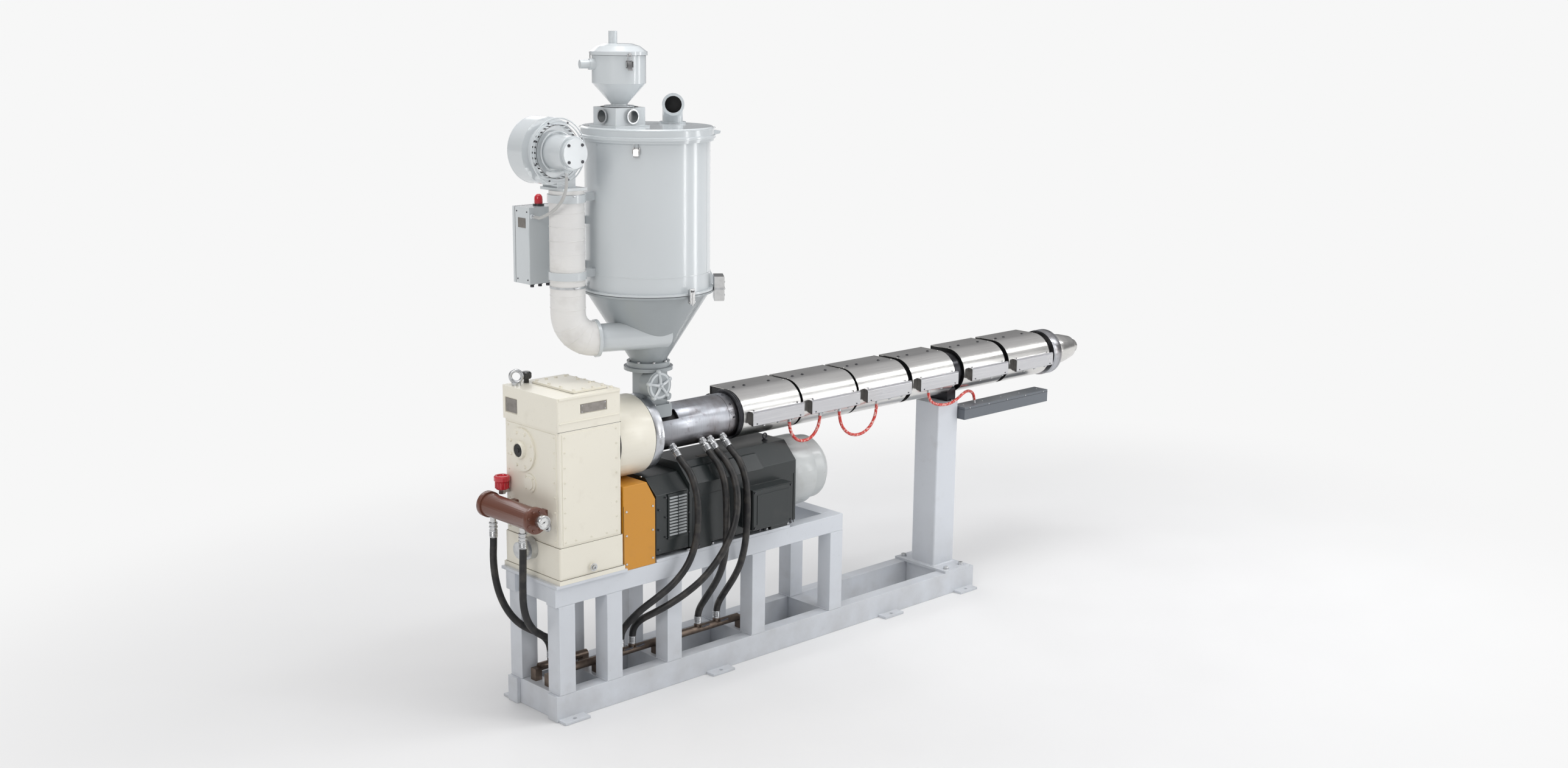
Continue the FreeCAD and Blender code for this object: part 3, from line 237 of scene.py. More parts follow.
def polished_sheet(name, colour):
    """Bright sheet that was polished along the machine, with smears and shallow dents."""
    finish = Finish(name, colour, metallic=1.0)
    streaks = finish.noise(1.0, 0.35, 0.65, stretch=(3, 150, 150), detail=3.0)
    finish.tint(streaks, shade(colour, 0.82), 0.35)
    finish.tint(finish.noise(3.5, 0.50, 0.80, detail=5.0), (0.45, 0.43, 0.40), 0.22)
    finish.tint(finish.noise(60, 0.72, 0.80), (0.25, 0.22, 0.19), 0.2)
    finish.rough(finish.noise(3, 0.2, 0.8, stretch=(1, 3, 3), detail=1.0), 0.21, 0.28)
    finish.bump(streaks, 0.00001, 0.3)
    finish.bump(finish.noise(3.0, 0.0, 1.0, detail=0.0), 0.0014, 0.3)
    finish.done()


def plated(name, colour, roughness=0.25, patchy=0.6):
    finish = Finish(name, colour, metallic=1.0)
    finish.tint(finish.noise(40, 0.40, 0.72, detail=5.0), shade(colour, 0.6), patchy)
    finish.rough(finish.noise(30, 0.3, 0.7), roughness, roughness + 0.2 * patchy)
    finish.bump(finish.noise(300, 0.0, 1.0), 0.00008, 0.5 * patchy)
    finish.done()


def rubber(name, colour, dust=(0.16, 0.14, 0.12), share=0.30):
    finish = Finish(name, colour)
    finish.tint(finish.noise(18, 0.45, 0.75, detail=6.0), dust, share)
    finish.rough(finish.noise(30, 0.3, 0.7), 0.38, 0.60)
    finish.bump(finish.noise(700, 0.0, 1.0), 0.00025, 0.6)
    finish.done()


def woven(name, colour):
    """A glass fibre sleeve: a fine criss-cross braid."""
    finish = Finish(name, colour)
    finish.tint(finish.noise(80, 0.52, 0.60, detail=1.0), (0.80, 0.55, 0.50), 0.75)
    finish.tint(finish.noise(14, 0.5, 0.8, detail=4.0), shade(colour, 0.35), 0.5)
    finish.rough(finish.noise(50, 0.3, 0.7), 0.45, 0.7)
    finish.bump(finish.noise(520, 0.0, 1.0, detail=1.0), 0.0006, 0.8)
    finish.done()


def gloss(name, colour, smooth=0.12):
    finish = Finish(name, colour, coat=0.5)
    finish.tint(finish.noise(30, 0.4, 0.8), shade(colour, 0.6), 0.5)
    finish.rough(finish.noise(25, 0.3, 0.7), smooth, smooth + 0.15)
    finish.done()


def lagged(name):
    """White lagging tape with soft creases and handling marks."""
    finish = Finish(name, (0.80, 0.79, 0.77))
    finish.tint(finish.noise(9, 0.50, 0.80, detail=6.0), (0.45, 0.42, 0.38), 0.35)
    finish.tint(finish.noise(2.5, 0.4, 0.8), (0.66, 0.66, 0.68), 0.6)
    finish.rough(finish.noise(20, 0.3, 0.7), 0.42, 0.65)
    finish.bump(finish.noise(1.0, 0.2, 0.8, stretch=(26, 26, 70), detail=5.0), 0.0016, 0.7)
    finish.done()


painted("frame_paint", (0.64, 0.67, 0.715), floor_dirt=0.30, dirt=0.25)
painted("tray_paint", (0.12, 0.135, 0.155))
painted("gearbox_paint", (0.84, 0.805, 0.70), (0.33, 0.26, 0.16), dirt=0.25)
painted("dryer_paint", (0.60, 0.635, 0.655), (0.28, 0.28, 0.27), smooth=0.17, dirt=0.05, coat=0.5)
# a darker copy of the dryer paint for the cone and the throat below it: painted shade
painted("cone_shaded_paint", (0.34, 0.37, 0.385), (0.20, 0.20, 0.19), smooth=0.22, dirt=0.15, coat=0.3)
painted("guard_paint", (0.62, 0.27, 0.018), (0.25, 0.12, 0.03))
painted("motor_paint", (0.016, 0.021, 0.022), (0.08, 0.075, 0.065), smooth=0.30, dirt=0.30)
painted("louvre_grey", (0.34, 0.36, 0.37))
painted("cowl_paint", (0.50, 0.52, 0.52), dirt=0.4)
painted("cooler_brown", (0.15, 0.055, 0.035), (0.05, 0.03, 0.02), dirt=0.55)
turned_steel("machined_steel", (0.50, 0.51, 0.54), (0.15, 0.10, 0.08), 0.70)
turned_steel("feed_steel", (0.42, 0.435, 0.47), (0.14, 0.09, 0.07), 0.75, belly=(1.43, 1.29))
turned_steel("flange_steel", (0.62, 0.64, 0.68), (0.30, 0.28, 0.26), 0.45)
turned_steel("black_steel", (0.045, 0.045, 0.05), (0.02, 0.018, 0.017), 0.60)
polished_sheet("polished_steel", (0.74, 0.73, 0.71))
polished_sheet("cover_steel", (0.60, 0.60, 0.62))
plated("pipe_brown", (0.20, 0.155, 0.125), 0.38)
# a darker grey for the ends of the terminal covers: painted shade on the sheet
plated("cover_shade_grey", (0.17, 0.165, 0.16), 0.4)
plated("galvanised", (0.62, 0.63, 0.64), 0.28)
plated("chrome", (0.62, 0.62, 0.62), 0.14, patchy=0.25)
plated("dark_bolt", (0.10, 0.10, 0.11), 0.35)
plated("bare_plate", (0.30, 0.28, 0.26), 0.35)
rubber("fan_black", (0.016, 0.016, 0.018), (0.09, 0.08, 0.07), 0.35)
rubber("hose_rubber", (0.012, 0.012, 0.013))
# near black: dark joints, and painted shade inside openings, slots and bores
rubber("gap", (0.006, 0.006, 0.007), (0.02, 0.02, 0.02), 0.2)
rubber("conduit_plastic", (0.50, 0.50, 0.49), (0.30, 0.28, 0.25))
woven("lead_sleeve", (0.60, 0.045, 0.035))
gloss("red_plastic", (0.62, 0.02, 0.035))
gloss("black_plastic", (0.015, 0.015, 0.016), 0.25)
gloss("glass", (0.025, 0.032, 0.035), 0.05)
gloss("dial", (0.82, 0.83, 0.82), 0.15)
lagged("lagging")


# ---- shapes ----
def ring_points(centre, along, radius, sides, start=0.0):
    """Points round a circle whose axis is along; a single point when the radius is nothing."""
    if radius == 0:
        return [centre.copy()]
    turn = along.to_track_quat("Z", "Y")
    angles = [start + TAU * i / sides for i in range(sides)]
    return [centre + turn @ Vector((radius * math.cos(a), radius * math.sin(a), 0)) for a in angles]


class Shape:
    """Mesh parts gathered into one piece. ink is the material of what is added next, and place moves it."""

    def __init__(self):
        self.mesh = bmesh.new()
        self.ink = 0
        self.place = Matrix.Identity(4)

    def face(self, corners):
        face = self.mesh.faces.new(corners)
        face.material_index = self.ink

    def loft(self, rings, closed=False, caps=True):
        """Skin over rings of points; a ring of one point is a tip."""
        rows = [[self.mesh.verts.new(self.place @ Vector(p)) for p in ring] for ring in rings]
        pairs = list(zip(rows, rows[1:])) + ([(rows[-1], rows[0])] if closed else [])
        for near, far in pairs:
            count = max(len(near), len(far))
            for i in range(count):
                j = (i + 1) % count
                if len(near) == 1:
                    self.face([near[0], far[j], far[i]])
                elif len(far) == 1:
                    self.face([near[i], near[j], far[0]])
                else:
                    self.face([near[i], near[j], far[j], far[i]])
        if caps and not closed:
            for row in (rows[0][::-1], rows[-1]):
                if len(row) > 2:
                    self.face(row)

    def box(self, x0, x1, y0, y1, z0, z1):
        corners = [(x0, y0), (x1, y0), (x1, y1), (x0, y1)]
        self.loft([[(x, y, z) for x, y in corners] for z in (z0, z1)])

    def bar(self, axis, outline, start, end):
        """A bar along X or Y; outline is its section in the other two coordinates."""
        self.loft([[(d, a, b) if axis == X else (a, d, b) for a, b in outline] for d in (start, end)])

    def prism(self, outline, move):
        """A bar with the outline as its end, drawn out along a vector."""
        self.loft([outline, [p + move for p in outline]])

    def turned(self, start, along, outline, sides=40, closed=False):
        """A solid of revolution; outline is distance along the axis and radius."""
        start, along = Vector(start), along.normalized()
        self.loft([ring_points(start + along * d, along, r, sides) for d, r in outline], closed)

    def band(self, start, along, inner, outer, wide, sides):
        """A flat ring that runs a width along its axis."""
        self.turned(start, along, [(0, inner), (0, outer), (wide, outer), (wide, inner)], sides, True)

    def disc(self, start, along, radius, thick, sides):
        self.turned(start, along, [(0, radius), (thick, radius), (thick, 0)], sides)

    def rod(self, start, end, radius, sides=24):
        start, end = Vector(start), Vector(end)
        self.loft([ring_points(p, end - start, radius, sides) for p in (start, end)])

    def hexagon(self, start, along, across, height):
        """A hexagon head with a chamfered top."""
        radius = across / math.sqrt(3)
        start, along = Vector(start), along.normalized()
        self.loft([ring_points(start + along * d, along, r, 6)
                   for d, r in ((0, radius), (0.8 * height, radius), (height, 0.86 * radius))])

    def bolt(self, start, along, across=0.016):
        """A hexagon head on a washer."""
        self.rod(start, Vector(start) + along.normalized() * 0.0016, 0.62 * across, 20)
        self.hexagon(start, along, across, 0.55 * across)

    def socket_bolt(self, start, along, radius=0.007, height=0.006):
        self.turned(start, along, [(0, radius), (0.85 * height, radius), (height, 0.85 * radius),
                                   (height, 0.5 * radius), (0.4 * height, 0.5 * radius), (0.4 * height, 0)], 16)

    def hoop(self, centre, axis, radius, thick, sides=48, rings=8):
        """A round wire ring."""
        turn = axis.to_track_quat("Z", "Y")
        loops = []
        for i in range(sides):
            angle = TAU * i / sides
            out = turn @ Vector((math.cos(angle), math.sin(angle), 0))
            loops.append([Vector(centre) + out * (radius + thick * math.cos(TAU * k / rings))
                          + axis.normalized() * (thick * math.sin(TAU * k / rings)) for k in range(rings)])
        self.loft(loops, closed=True)

    def wire(self, points, radius, sides=10):
        """A bent round bar through points; radius is a number, or one for each point."""
        radii = radius if isinstance(radius, list) else [radius] * len(points)
        heading = (points[1] - points[0]).normalized()
        turn = heading.to_track_quat("Z", "Y")
        rows = []
        for i, point in enumerate(points):
            before, after = points[max(i - 1, 0)], points[min(i + 1, len(points) - 1)]
            new_heading = (after - before).normalized()
            turn = heading.rotation_difference(new_heading) @ turn
            heading = new_heading
            rows.append([point + turn @ Vector((radii[i] * math.cos(TAU * k / sides),
                                                radii[i] * math.sin(TAU * k / sides), 0)) for k in range(sides)])
        self.loft(rows)


def piece(name, slot, shape, materials=(), bevel=0.0, replaces=()):
    """One named object of the model that rides on the machine; its material is the slot's if none is given."""
    bmesh.ops.recalc_face_normals(shape.mesh, faces=shape.mesh.faces)
    mesh = bpy.data.meshes.new(name)
    shape.mesh.to_mesh(mesh)
    shape.mesh.free()
    for material in materials or [slot]:
        mesh.materials.append(MATERIALS[material])
    for polygon in mesh.polygons:
        polygon.use_smooth = True
    mesh.set_sharp_from_angle(angle=SMOOTH_ANGLE)
    obj = bpy.data.objects.new(name, mesh)
    bpy.context.scene.collection.objects.link(obj)
    if bevel:
        round_edges(obj, bevel)
    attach(obj, "root")
    if replaces:
        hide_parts(*replaces)
    return obj


def round_edges(obj, width, weld=False):
    if weld:
        obj.modifiers.new("weld", "WELD").merge_threshold = 0.00002
    bevel = obj.modifiers.new("bevel", "BEVEL")
    bevel.width = width
    bevel.segments = 2
    bevel.limit_method = "ANGLE"
    bevel.angle_limit = math.radians(40)
    bevel.harden_normals = True


def polar(radius, degrees, z, centre=Vector((0, 0, 0))):
    """A point about an upright axis."""
    angle = math.radians(degrees)
    return Vector((centre.x + radius * math.cos(angle), centre.y + radius * math.sin(angle), z))


def around_z(degrees):
    return Matrix.Rotation(math.radians(degrees), 4, "Z")


def about_barrel(x, degrees):
    """A frame on the screw axis whose Z points out, turned from the top towards -Y."""
    return Matrix.Translation((x, 0, BARREL_Z)) @ Matrix.Rotation(math.radians(degrees), 4, "X")


# ---- camera and light ----
def camera():
    data = bpy.data.cameras.new("camera")
    data.lens = CAMERA_LENS
    data.sensor_width = 36.0
    data.clip_end = 200.0
    obj = bpy.data.objects.new("camera", data)
    turn = (CAMERA_AIM - CAMERA_AT).to_track_quat("-Z", "Y") @ Quaternion((0, 0, 1), CAMERA_ROLL)
    obj.matrix_world = Matrix.Translation(CAMERA_AT) @ turn.to_matrix().to_4x4()
    bpy.context.scene.collection.objects.link(obj)
    bpy.context.scene.camera = obj


def softbox(name, at, aim, size, power, colour=(1, 1, 1)):
    data = bpy.data.lights.new(name, "AREA")
    data.shape = "RECTANGLE"
    data.size, data.size_y = size
    data.energy = power
    data.color = colour
    obj = bpy.data.objects.new(name, data)
    at = Vector(at)
    obj.matrix_world = Matrix.Translation(at) @ (Vector(aim) - at).to_track_quat("-Z", "Y").to_matrix().to_4x4()
    obj.visible_camera = False
    bpy.context.scene.collection.objects.link(obj)


SOFTBOXES = {   # place, aim, size, power and colour
    "light_top": ((0.5, -1.0, 7.5), (1.2, 0, 1.0), (6.0, 3.0), 215),
    "light_left": ((-7.0, -3.0, 5.0), (0.2, 0, 1.6), (3.0, 3.0), 150, (1.0, 0.985, 0.96)),
    "light_right": ((4.5, -6.5, 4.5), (1.0, 0, 1.4), (3.5, 2.0), 60, (0.97, 0.985, 1.0)),
    "light_strip": ((7.0, -3.0, 5.4), (7.0, 0, 1.3), (6.5, 0.55), 110),
    "light_window_1": ((6.6, -4.4, 2.3), (0, 0, 2.3), (1.0, 3.0), 50),
    "light_window_2": ((4.6, -7.6, 2.6), (0, 0, 2.4), (0.6, 3.4), 60),
    "light_back": ((1.5, 6.5, 5.0), (0.8, 0, 1.4), (6.0, 2.5), 100),
}
SKY = [(0.0, 0.50), (0.46, 0.55), (0.52, 0.22), (0.66, 0.42), (0.85, 0.80)]     # height from nadir to zenith, grey


def studio():
    """Softboxes, and a grey sky that only the reflections see in front of an even backdrop."""
    for name, settings in SOFTBOXES.items():
        softbox(name, *settings)
    world = bpy.data.worlds.new("studio")
    bpy.context.scene.world = world
    world.use_nodes = True
    tree = world.node_tree
    place = add_node(tree, "TexCoord", {})
    split = add_node(tree, "SeparateXYZ", {"Vector": place.outputs["Generated"]})
    half = add_node(tree, "MapRange", {"Value": split.outputs["Z"], "From Min": -1.0})
    ramp = add_node(tree, "ValToRGB", {"Fac": half.outputs["Result"]})
    stops = ramp.color_ramp.elements
    for index, (height, grey) in enumerate(SKY):
        stop = stops[0] if index == 0 else stops.new(height)
        stop.position = height
        stop.color = (grey, grey, 1.02 * grey, 1)
    stops.remove(stops[-1])
    surround = tree.nodes["Background"]
    surround.inputs["Strength"].default_value = 0.74
    tree.links.new(ramp.outputs["Color"], surround.inputs["Color"])
    backdrop = add_node(tree, "Background", {"Color": (*BACKDROP, 1)})
    seen = add_node(tree, "LightPath", {})
    mix = add_node(tree, "MixShader", {"Fac": seen.outputs["Is Camera Ray"], 1: surround.outputs["Background"],
                                       2: backdrop.outputs["Background"]})
    tree.links.new(mix.outputs["Shader"], tree.nodes["World Output"].inputs["Surface"])
    bpy.context.scene.view_settings.view_transform = "Standard"


def floor():
    """A pale floor that fades into the backdrop away from the machine."""
    half, z = 40, -0.0005
    mesh = bpy.data.meshes.new("floor")
    mesh.from_pydata([(-half, -half, z), (half, -half, z), (half, half, z), (-half, half, z)], [], [(0, 1, 2, 3)])
    pale = Finish("floor_pale", (0.80, 0.80, 0.80))
    pale.tint(pale.noise(0.7, 0.3, 0.7), (0.77, 0.77, 0.77), 0.5)
    pale.rough(pale.noise(2, 0.3, 0.7), 0.55, 0.7)
    pale.done()
    away = pale.add("Mapping", {"Vector": pale.place, "Location": (-0.33, 0, 0), "Scale": (0.30, 0.42, 0)})
    length = pale.add("VectorMath", {0: away.outputs["Vector"]}, operation="LENGTH")
    fade = pale.add("MapRange", {"Value": length.outputs["Value"], "From Min": 0.75, "From Max": 2.0},
                    interpolation_type="SMOOTHSTEP")
    glow = pale.add("Emission", {"Color": (*BACKDROP, 1)})
    blend = pale.add("MixShader", {"Fac": fade.outputs["Result"], 1: pale.shader.outputs["BSDF"],
                                   2: glow.outputs["Emission"]})
    pale.tree.links.new(blend.outputs["Shader"], pale.tree.nodes["Material Output"].inputs["Surface"])
    mesh.materials.append(pale.material)
    obj = bpy.data.objects.new("floor", mesh)
    bpy.context.scene.collection.objects.link(obj)


# ---- cords ----
def cord(name, points, diameter, material):
    """A hose or lead that goes from one fitting of the machine to another."""
    curve = bpy.data.curves.new(name, "CURVE")
    curve.dimensions = "3D"
    curve.bevel_depth = diameter / 2
    curve.bevel_resolution = 6
    curve.resolution_u = 12
    spline = curve.splines.new("NURBS")
    spline.points.add(len(points) - 1)
    for control, point in zip(spline.points, points):
        control.co = (*point, 1)
    spline.order_u = 3
    spline.use_endpoint_u = True
    curve.materials.append(MATERIALS[material])
    obj = bpy.data.objects.new(name + "_line", curve)
    bpy.context.scene.collection.objects.link(obj)
    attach(obj, "root")
    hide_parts(name)
    ends = Shape()
    for end, next_point in ((points[0], points[1]), (points[-1], points[-2])):
        ferrule(ends, Vector(end), (Vector(next_point) - Vector(end)).normalized(), diameter / 2)
    sleeve = piece(name + "_ferrules", "galvanised", ends)


def ferrule(shape, start, along, radius):
    """A crimped sleeve over the end of a hose."""
    outline = [(0.0, 0.9 * radius), (0.0, 1.12 * radius)]
    for fold in range(4):
        d = (0.35 + 0.45 * fold) * radius
        outline += [(d, 1.16 * radius), (d + 0.2 * radius, 1.07 * radius)]
    outline += [(2.2 * radius, 1.12 * radius), (2.2 * radius, 1.01 * radius)]
    shape.turned(start, along, outline, 28)


def cords():
    kinds = [("water_hose", WATER_HOSES, (1.276, 1.165, 1.418, 1.165), HOSE_DIAMETER, "hose_rubber", "stiff"),
             ("cooler_hose", COOLER_HOSES, (0.823, 0.848), HOSE_DIAMETER, "hose_rubber", "stiff"),
             ("heater_lead", HEATER_LEADS, (0.439, 0.554, 0.642), LEAD_DIAMETER, "lead_sleeve", "medium")]
    for kind, routes, lengths, diameter, material, stiffness in kinds:
        for number, (route, length) in enumerate(zip(routes, lengths), 1):
            cord(f"{kind}_{number}", route, diameter, material)
    cord("blower_conduit", BLOWER_CONDUIT, CONDUIT_DIAMETER, "conduit_plastic")


# ---- shared small things ----
def spread(first, last, count):
    """Evenly spaced values from first to last."""
    return [first + (last - first) * i / (count - 1) for i in range(count)]


def circle(centre, across, up, radius, count, start=0.0):
    """Places spaced evenly round a circle, each with its outward direction."""
    for i in range(count):
        angle = start + TAU * i / count
        out = across * math.cos(angle) + up * math.sin(angle)
        yield Vector(centre) + out * radius, out


def edge_loop(shape, room, z, high=0.0016, shrink=0.0):
    """A thin dark joint line round an upright box."""
    x0, x1, y0, y1 = room.x0 + shrink, room.x1 - shrink, room.y0 + shrink, room.y1 - shrink
    out, deep = 0.0004, 0.002
    for a, b, c, d in ((x0 - out, x1 + out, y0 - out, y0 + deep), (x0 - out, x1 + out, y1 - deep, y1 + out),
                       (x0 - out, x0 + deep, y0, y1), (x1 - deep, x1 + out, y0, y1)):
        shape.box(a, b, c, d, z, z + high)


def bead(shape, start, end, radius=0.0042):
    """A fillet weld, a little uneven along its length."""
    start, end = Vector(start), Vector(end)
    steps = max(3, int((end - start).length / 0.009))
    shape.wire([start.lerp(end, i / steps) for i in range(steps + 1)],
               [radius * (1 + 0.16 * math.sin(2.4 * i)) for i in range(steps + 1)], 8)


def toggle_latch(shape, place, low, high, wide):
    """An over-centre latch: base plate, lever and wire loop to a hook above. X of its place points out."""
    shape.place = place
    middle = (low + high) / 2
    knee = low + 0.35 * (middle - low)
    shape.box(0.0, 0.003, -wide, wide, low, middle)
    for side in (-wide, wide):
        shape.box(0.003, 0.014, side - 0.002, side + 0.002, low + 0.004, middle - 0.004)
    lever = [(0.010, middle - 0.006), (0.016, knee), (0.015, low), (0.021, low - 0.012), (0.018, low - 0.013),
             (0.012, low), (0.013, knee), (0.007, middle - 0.006)]
    shape.bar(Y, lever, -0.7 * wide, 0.7 * wide)
    loop = [(-1, middle - 0.010), (-1, high - 0.010), (-0.6, high - 0.003), (0.6, high - 0.003), (1, high - 0.010),
            (1, middle - 0.010)]
    shape.wire([Vector((0.010, 0.6 * y * wide, z)) for y, z in loop], 0.0018, 8)
    shape.box(0.0, 0.003, -0.7 * wide, 0.7 * wide, high - 0.016, high + 0.008)
    hook = [(0.003, high - 0.012), (0.013, high - 0.010), (0.015, high + 0.002), (0.012, high + 0.002),
            (0.010, high - 0.006), (0.003, high - 0.006)]
    shape.bar(Y, hook, -0.35 * wide, 0.35 * wide)
    shape.place = Matrix.Identity(4)


# ---- machine bed ----
POST_X = [-0.718, -0.410, 0.0, 0.620, 1.240]
POST_HALF = 0.050


def bed_details():
    posts = Room("frame_posts")
    column = Room("support_column")
    beads = Shape()
    for x, side, face, z in product(POST_X, (-1, 1), (-POST_HALF, POST_HALF), (posts.z0 + 0.002, posts.z1 - 0.002)):
        bead(beads, (x + face, side * (posts.y1 - 0.098), z), (x + face, side * (posts.y1 - 0.002), z))
    plate_top = column.z0 + 0.016
    corners = [(column.x0 + 0.02, -0.095), (column.x1 - 0.02, -0.095), (column.x1 - 0.02, 0.095),
               (column.x0 + 0.02, 0.095)]
    for near, far in zip(corners, corners[1:] + corners[:1]):
        bead(beads, (*near, plate_top), (*far, plate_top), 0.006)
    piece("bed_weld_beads", "frame_paint", beads)

    bolts = Shape()
    for x, y in product((column.x0 + 0.045, column.x1 - 0.045), (column.y0 + 0.035, column.y1 - 0.035)):
        bolts.bolt((x, y, plate_top), Z, 0.030)
    saddle = Room("support_saddle")
    for y in (saddle.y0 - 0.010, saddle.y1 + 0.010):
        bolts.bolt((saddle.x, y, column.z1), Z, 0.018)
    motor = Room("motor_body")
    seat = Room("machined_seat_plates")
    for x, side in product((motor.x0 + 0.012, motor.x0 + 0.182, motor.x1 - 0.046, motor.x1 - 0.208), (-1, 1)):
        bolts.bolt((x, side * (seat.y1 - 0.062), seat.z1), Z, 0.020)
    piece("bed_bolts", "galvanised", bolts)


# ---- gearbox ----
BOSS_Y = 0.085
BREATHER_AT = (-0.640, 0.212)
FILLER_AT = (-0.802, 0.215)


def gearbox_details():
    case = Room("gearbox_housing")
    top = Room("gearbox_top_case")
    base = Room("gearbox_base")
    lid = Room("gearbox_inspection_cover")
    inset, thick = 0.020, 0.003
    low, high = case.z0 + 0.012, case.z1 - 0.014
    plates = Shape()
    bolts = Shape()
    plates.box(case.x0 + inset, case.x1 - inset, case.y0 - thick, case.y0 + 0.001, low, high)
    plates.box(case.x0 + inset, case.x1 - inset, case.y1 - 0.001, case.y1 + thick, low, high)
    plates.box(case.x0 - thick, case.x0 + 0.001, case.y0 + inset, case.y1 - inset, low, high)
    margin = inset + 0.014
    spots = list(product((case.x0 + margin, case.x1 - margin), spread(low + 0.016, high - 0.016, 8)))
    spots += [(x, low + 0.016) for x in spread(case.x0 + 0.10, case.x1 - 0.10, 3)]
    for x, z in spots:
        bolts.socket_bolt((x, case.y0 - thick, z), -Y, 0.0055, 0.0035)
        bolts.socket_bolt((x, case.y1 + thick, z), Y, 0.0055, 0.0035)
    for y, z in product((case.y0 + margin, case.y1 - margin), spread(low + 0.016, high - 0.016, 8)):
        bolts.socket_bolt((case.x0 - thick, y, z), -X, 0.0055, 0.0035)
    plates.box(top.x0 + 0.012, top.x1 - 0.012, top.y0 - 0.003, top.y0 + 0.001, top.z0 + 0.040, top.z0 + 0.046)
    plates.box(top.x0 + 0.010, top.x1 - 0.006, top.y0 - 0.004, top.y0 + 0.001, top.z1 - 0.012, top.z1 - 0.002)
    piece("gearbox_side_plates", "gearbox_paint", plates, bevel=0.0012)

    rim = 0.018
    spots = list(product(spread(lid.x0 + rim, lid.x1 - rim, 4), (lid.y0 + rim, lid.y1 - rim)))
    spots += product((lid.x0 + rim, lid.x1 - rim), (lid.y0 + 0.125, lid.y1 - 0.125))
    for x, y in spots:
        bolts.bolt((x, y, lid.z1), Z, 0.015)
    for y in spread(top.y0 + 0.05, top.y1 - 0.05, 6):
        bolts.bolt((top.x1 - 0.022, y, top.z1), Z, 0.017)
    piece("gearbox_bolts", "gearbox_paint", bolts)

    caps = Room("gearbox_bearing_caps")
    trim = Shape()
    for at, _ in circle((caps.x0 + 0.018, BOSS_Y, BARREL_Z), Y, Z, 0.092, 8, TAU / 16):
        trim.bolt(at, -X, 0.014)
    trim.hoop((caps.x0, BOSS_Y, BARREL_Z), X, 0.040, 0.0045)
    for at, _ in circle((case.x0 - 0.010, 0.025, BARREL_Z - 0.165), Y, Z, 0.042, 4, TAU / 8):
        trim.bolt(at, -X, 0.010)
    piece("bearing_cap_trim", "gearbox_paint", trim)

    dark = Shape()
    dark.turned((caps.x0 - 0.0005, BOSS_Y, BARREL_Z), -X,
                [(0, 0.034), (0.0006, 0.034), (0.0006, 0.012), (0.004, 0.010), (0.004, 0)])
    edge_loop(dark, case, case.z0)
    edge_loop(dark, case, case.z1 - 0.0016)
    edge_loop(dark, base, base.z0 + 0.024, shrink=0.006)
    edge_loop(dark, lid, lid.z0, 0.0012)
    dark.band((Room("thrust_housing").x0, 0, BARREL_Z), X, 0.20, 0.2165, 0.003, 72)
    piece("gearbox_seams", "gearbox_paint", dark, ["gap"])

    bare = Shape()
    x0 = top.x1 - 0.254
    bare.box(x0, x0 + 0.162, top.y0 + 0.0015, top.y0 + 0.0055, top.z1 - 0.093, top.z1 - 0.049)
    bare.box(top.x0 + 0.002, top.x0 + 0.006, top.y1 - 0.128, top.y1 - 0.030, top.z1 - 0.134, top.z1 - 0.062)
    bare.ink = 1
    for x, z in product((x0 + 0.008, x0 + 0.154), (top.z1 - 0.087, top.z1 - 0.055)):
        bare.rod((x, top.y0 + 0.0016, z), (x, top.y0, z), 0.003, 12)
    piece("gearbox_bare_plates", "machined_steel", bare, ["bare_plate", "galvanised"])

    glass = Shape()
    sight = Vector((case.x0 - 0.003, -0.120, 1.030))
    glass.turned(sight, -X, [(0, 0.030), (0.006, 0.030), (0.010, 0.026), (0.010, 0.020), (0.004, 0.020), (0.004, 0)])
    drain = Vector((base.x0 + 0.208, base.y0 - 0.006, base.z0 + 0.060))
    glass.turned(drain, -Y, [(0, 0.011), (0.006, 0.011), (0.006, 0.0075), (0.001, 0.0075), (0.001, 0)], 24)
    glass.band(drain + 0.003 * Y, -Y, 0.015, 0.021, 0.003, 24)
    glass.ink = 1
    glass.rod(sight - 0.003 * X, sight - 0.006 * X, 0.0195)
    piece("gearbox_glass_and_plug", "galvanised", glass, ["galvanised", "glass"])


def oil_caps():
    """A ribbed black breather and a red filler cap."""
    shape = Shape()
    breather = (*BREATHER_AT, Room("gearbox_top_case").z1)
    filler = (*FILLER_AT, Room("oil_caps").z0)
    kinds = [(breather, [(0, 0.014), (0.022, 0.014), (0.022, 0.024), (0.026, 0.026), (0.052, 0.026), (0.058, 0.020),
                         (0.058, 0)], 0.026, 20, 0.027, 0.024, 0.0018, 6),
             (filler, [(0, 0.030), (0.004, 0.034), (0.040, 0.034), (0.046, 0.042), (0.066, 0.042), (0.072, 0.037),
                       (0.072, 0.026), (0.066, 0.024), (0.066, 0)], 0.0345, 14, 0.006, 0.032, 0.003, 8)]
    for ink, (foot, outline, radius, ribs, rise, rib_high, rib_thick, sides) in enumerate(kinds):
        shape.ink = ink
        shape.turned(foot, Z, outline, 40)
        for at, _ in circle(Vector(foot) + rise * Z, X, Y, radius, ribs):
            shape.rod(at, at + rib_high * Z, rib_thick, sides)
    piece("filler_caps", "red_plastic", shape, ["black_plastic", "red_plastic"], replaces=["oil_caps"])


# ---- feed section and throat ----
POCKET = (-0.0515, 0.1215, 0.0305, 0.103, 0.1195)      # ends, half width, floor and lip above the screw axis
POCKET_DEGREES = 46
NIPPLE_DEGREES = 132
FEED_R = 0.1247
FLANGE_BOLTS_R = 0.186
THROAT_BOLTS_R = 0.1045
PORT_AT = (-0.041, 0.270)                              # along the machine, above the screw axis


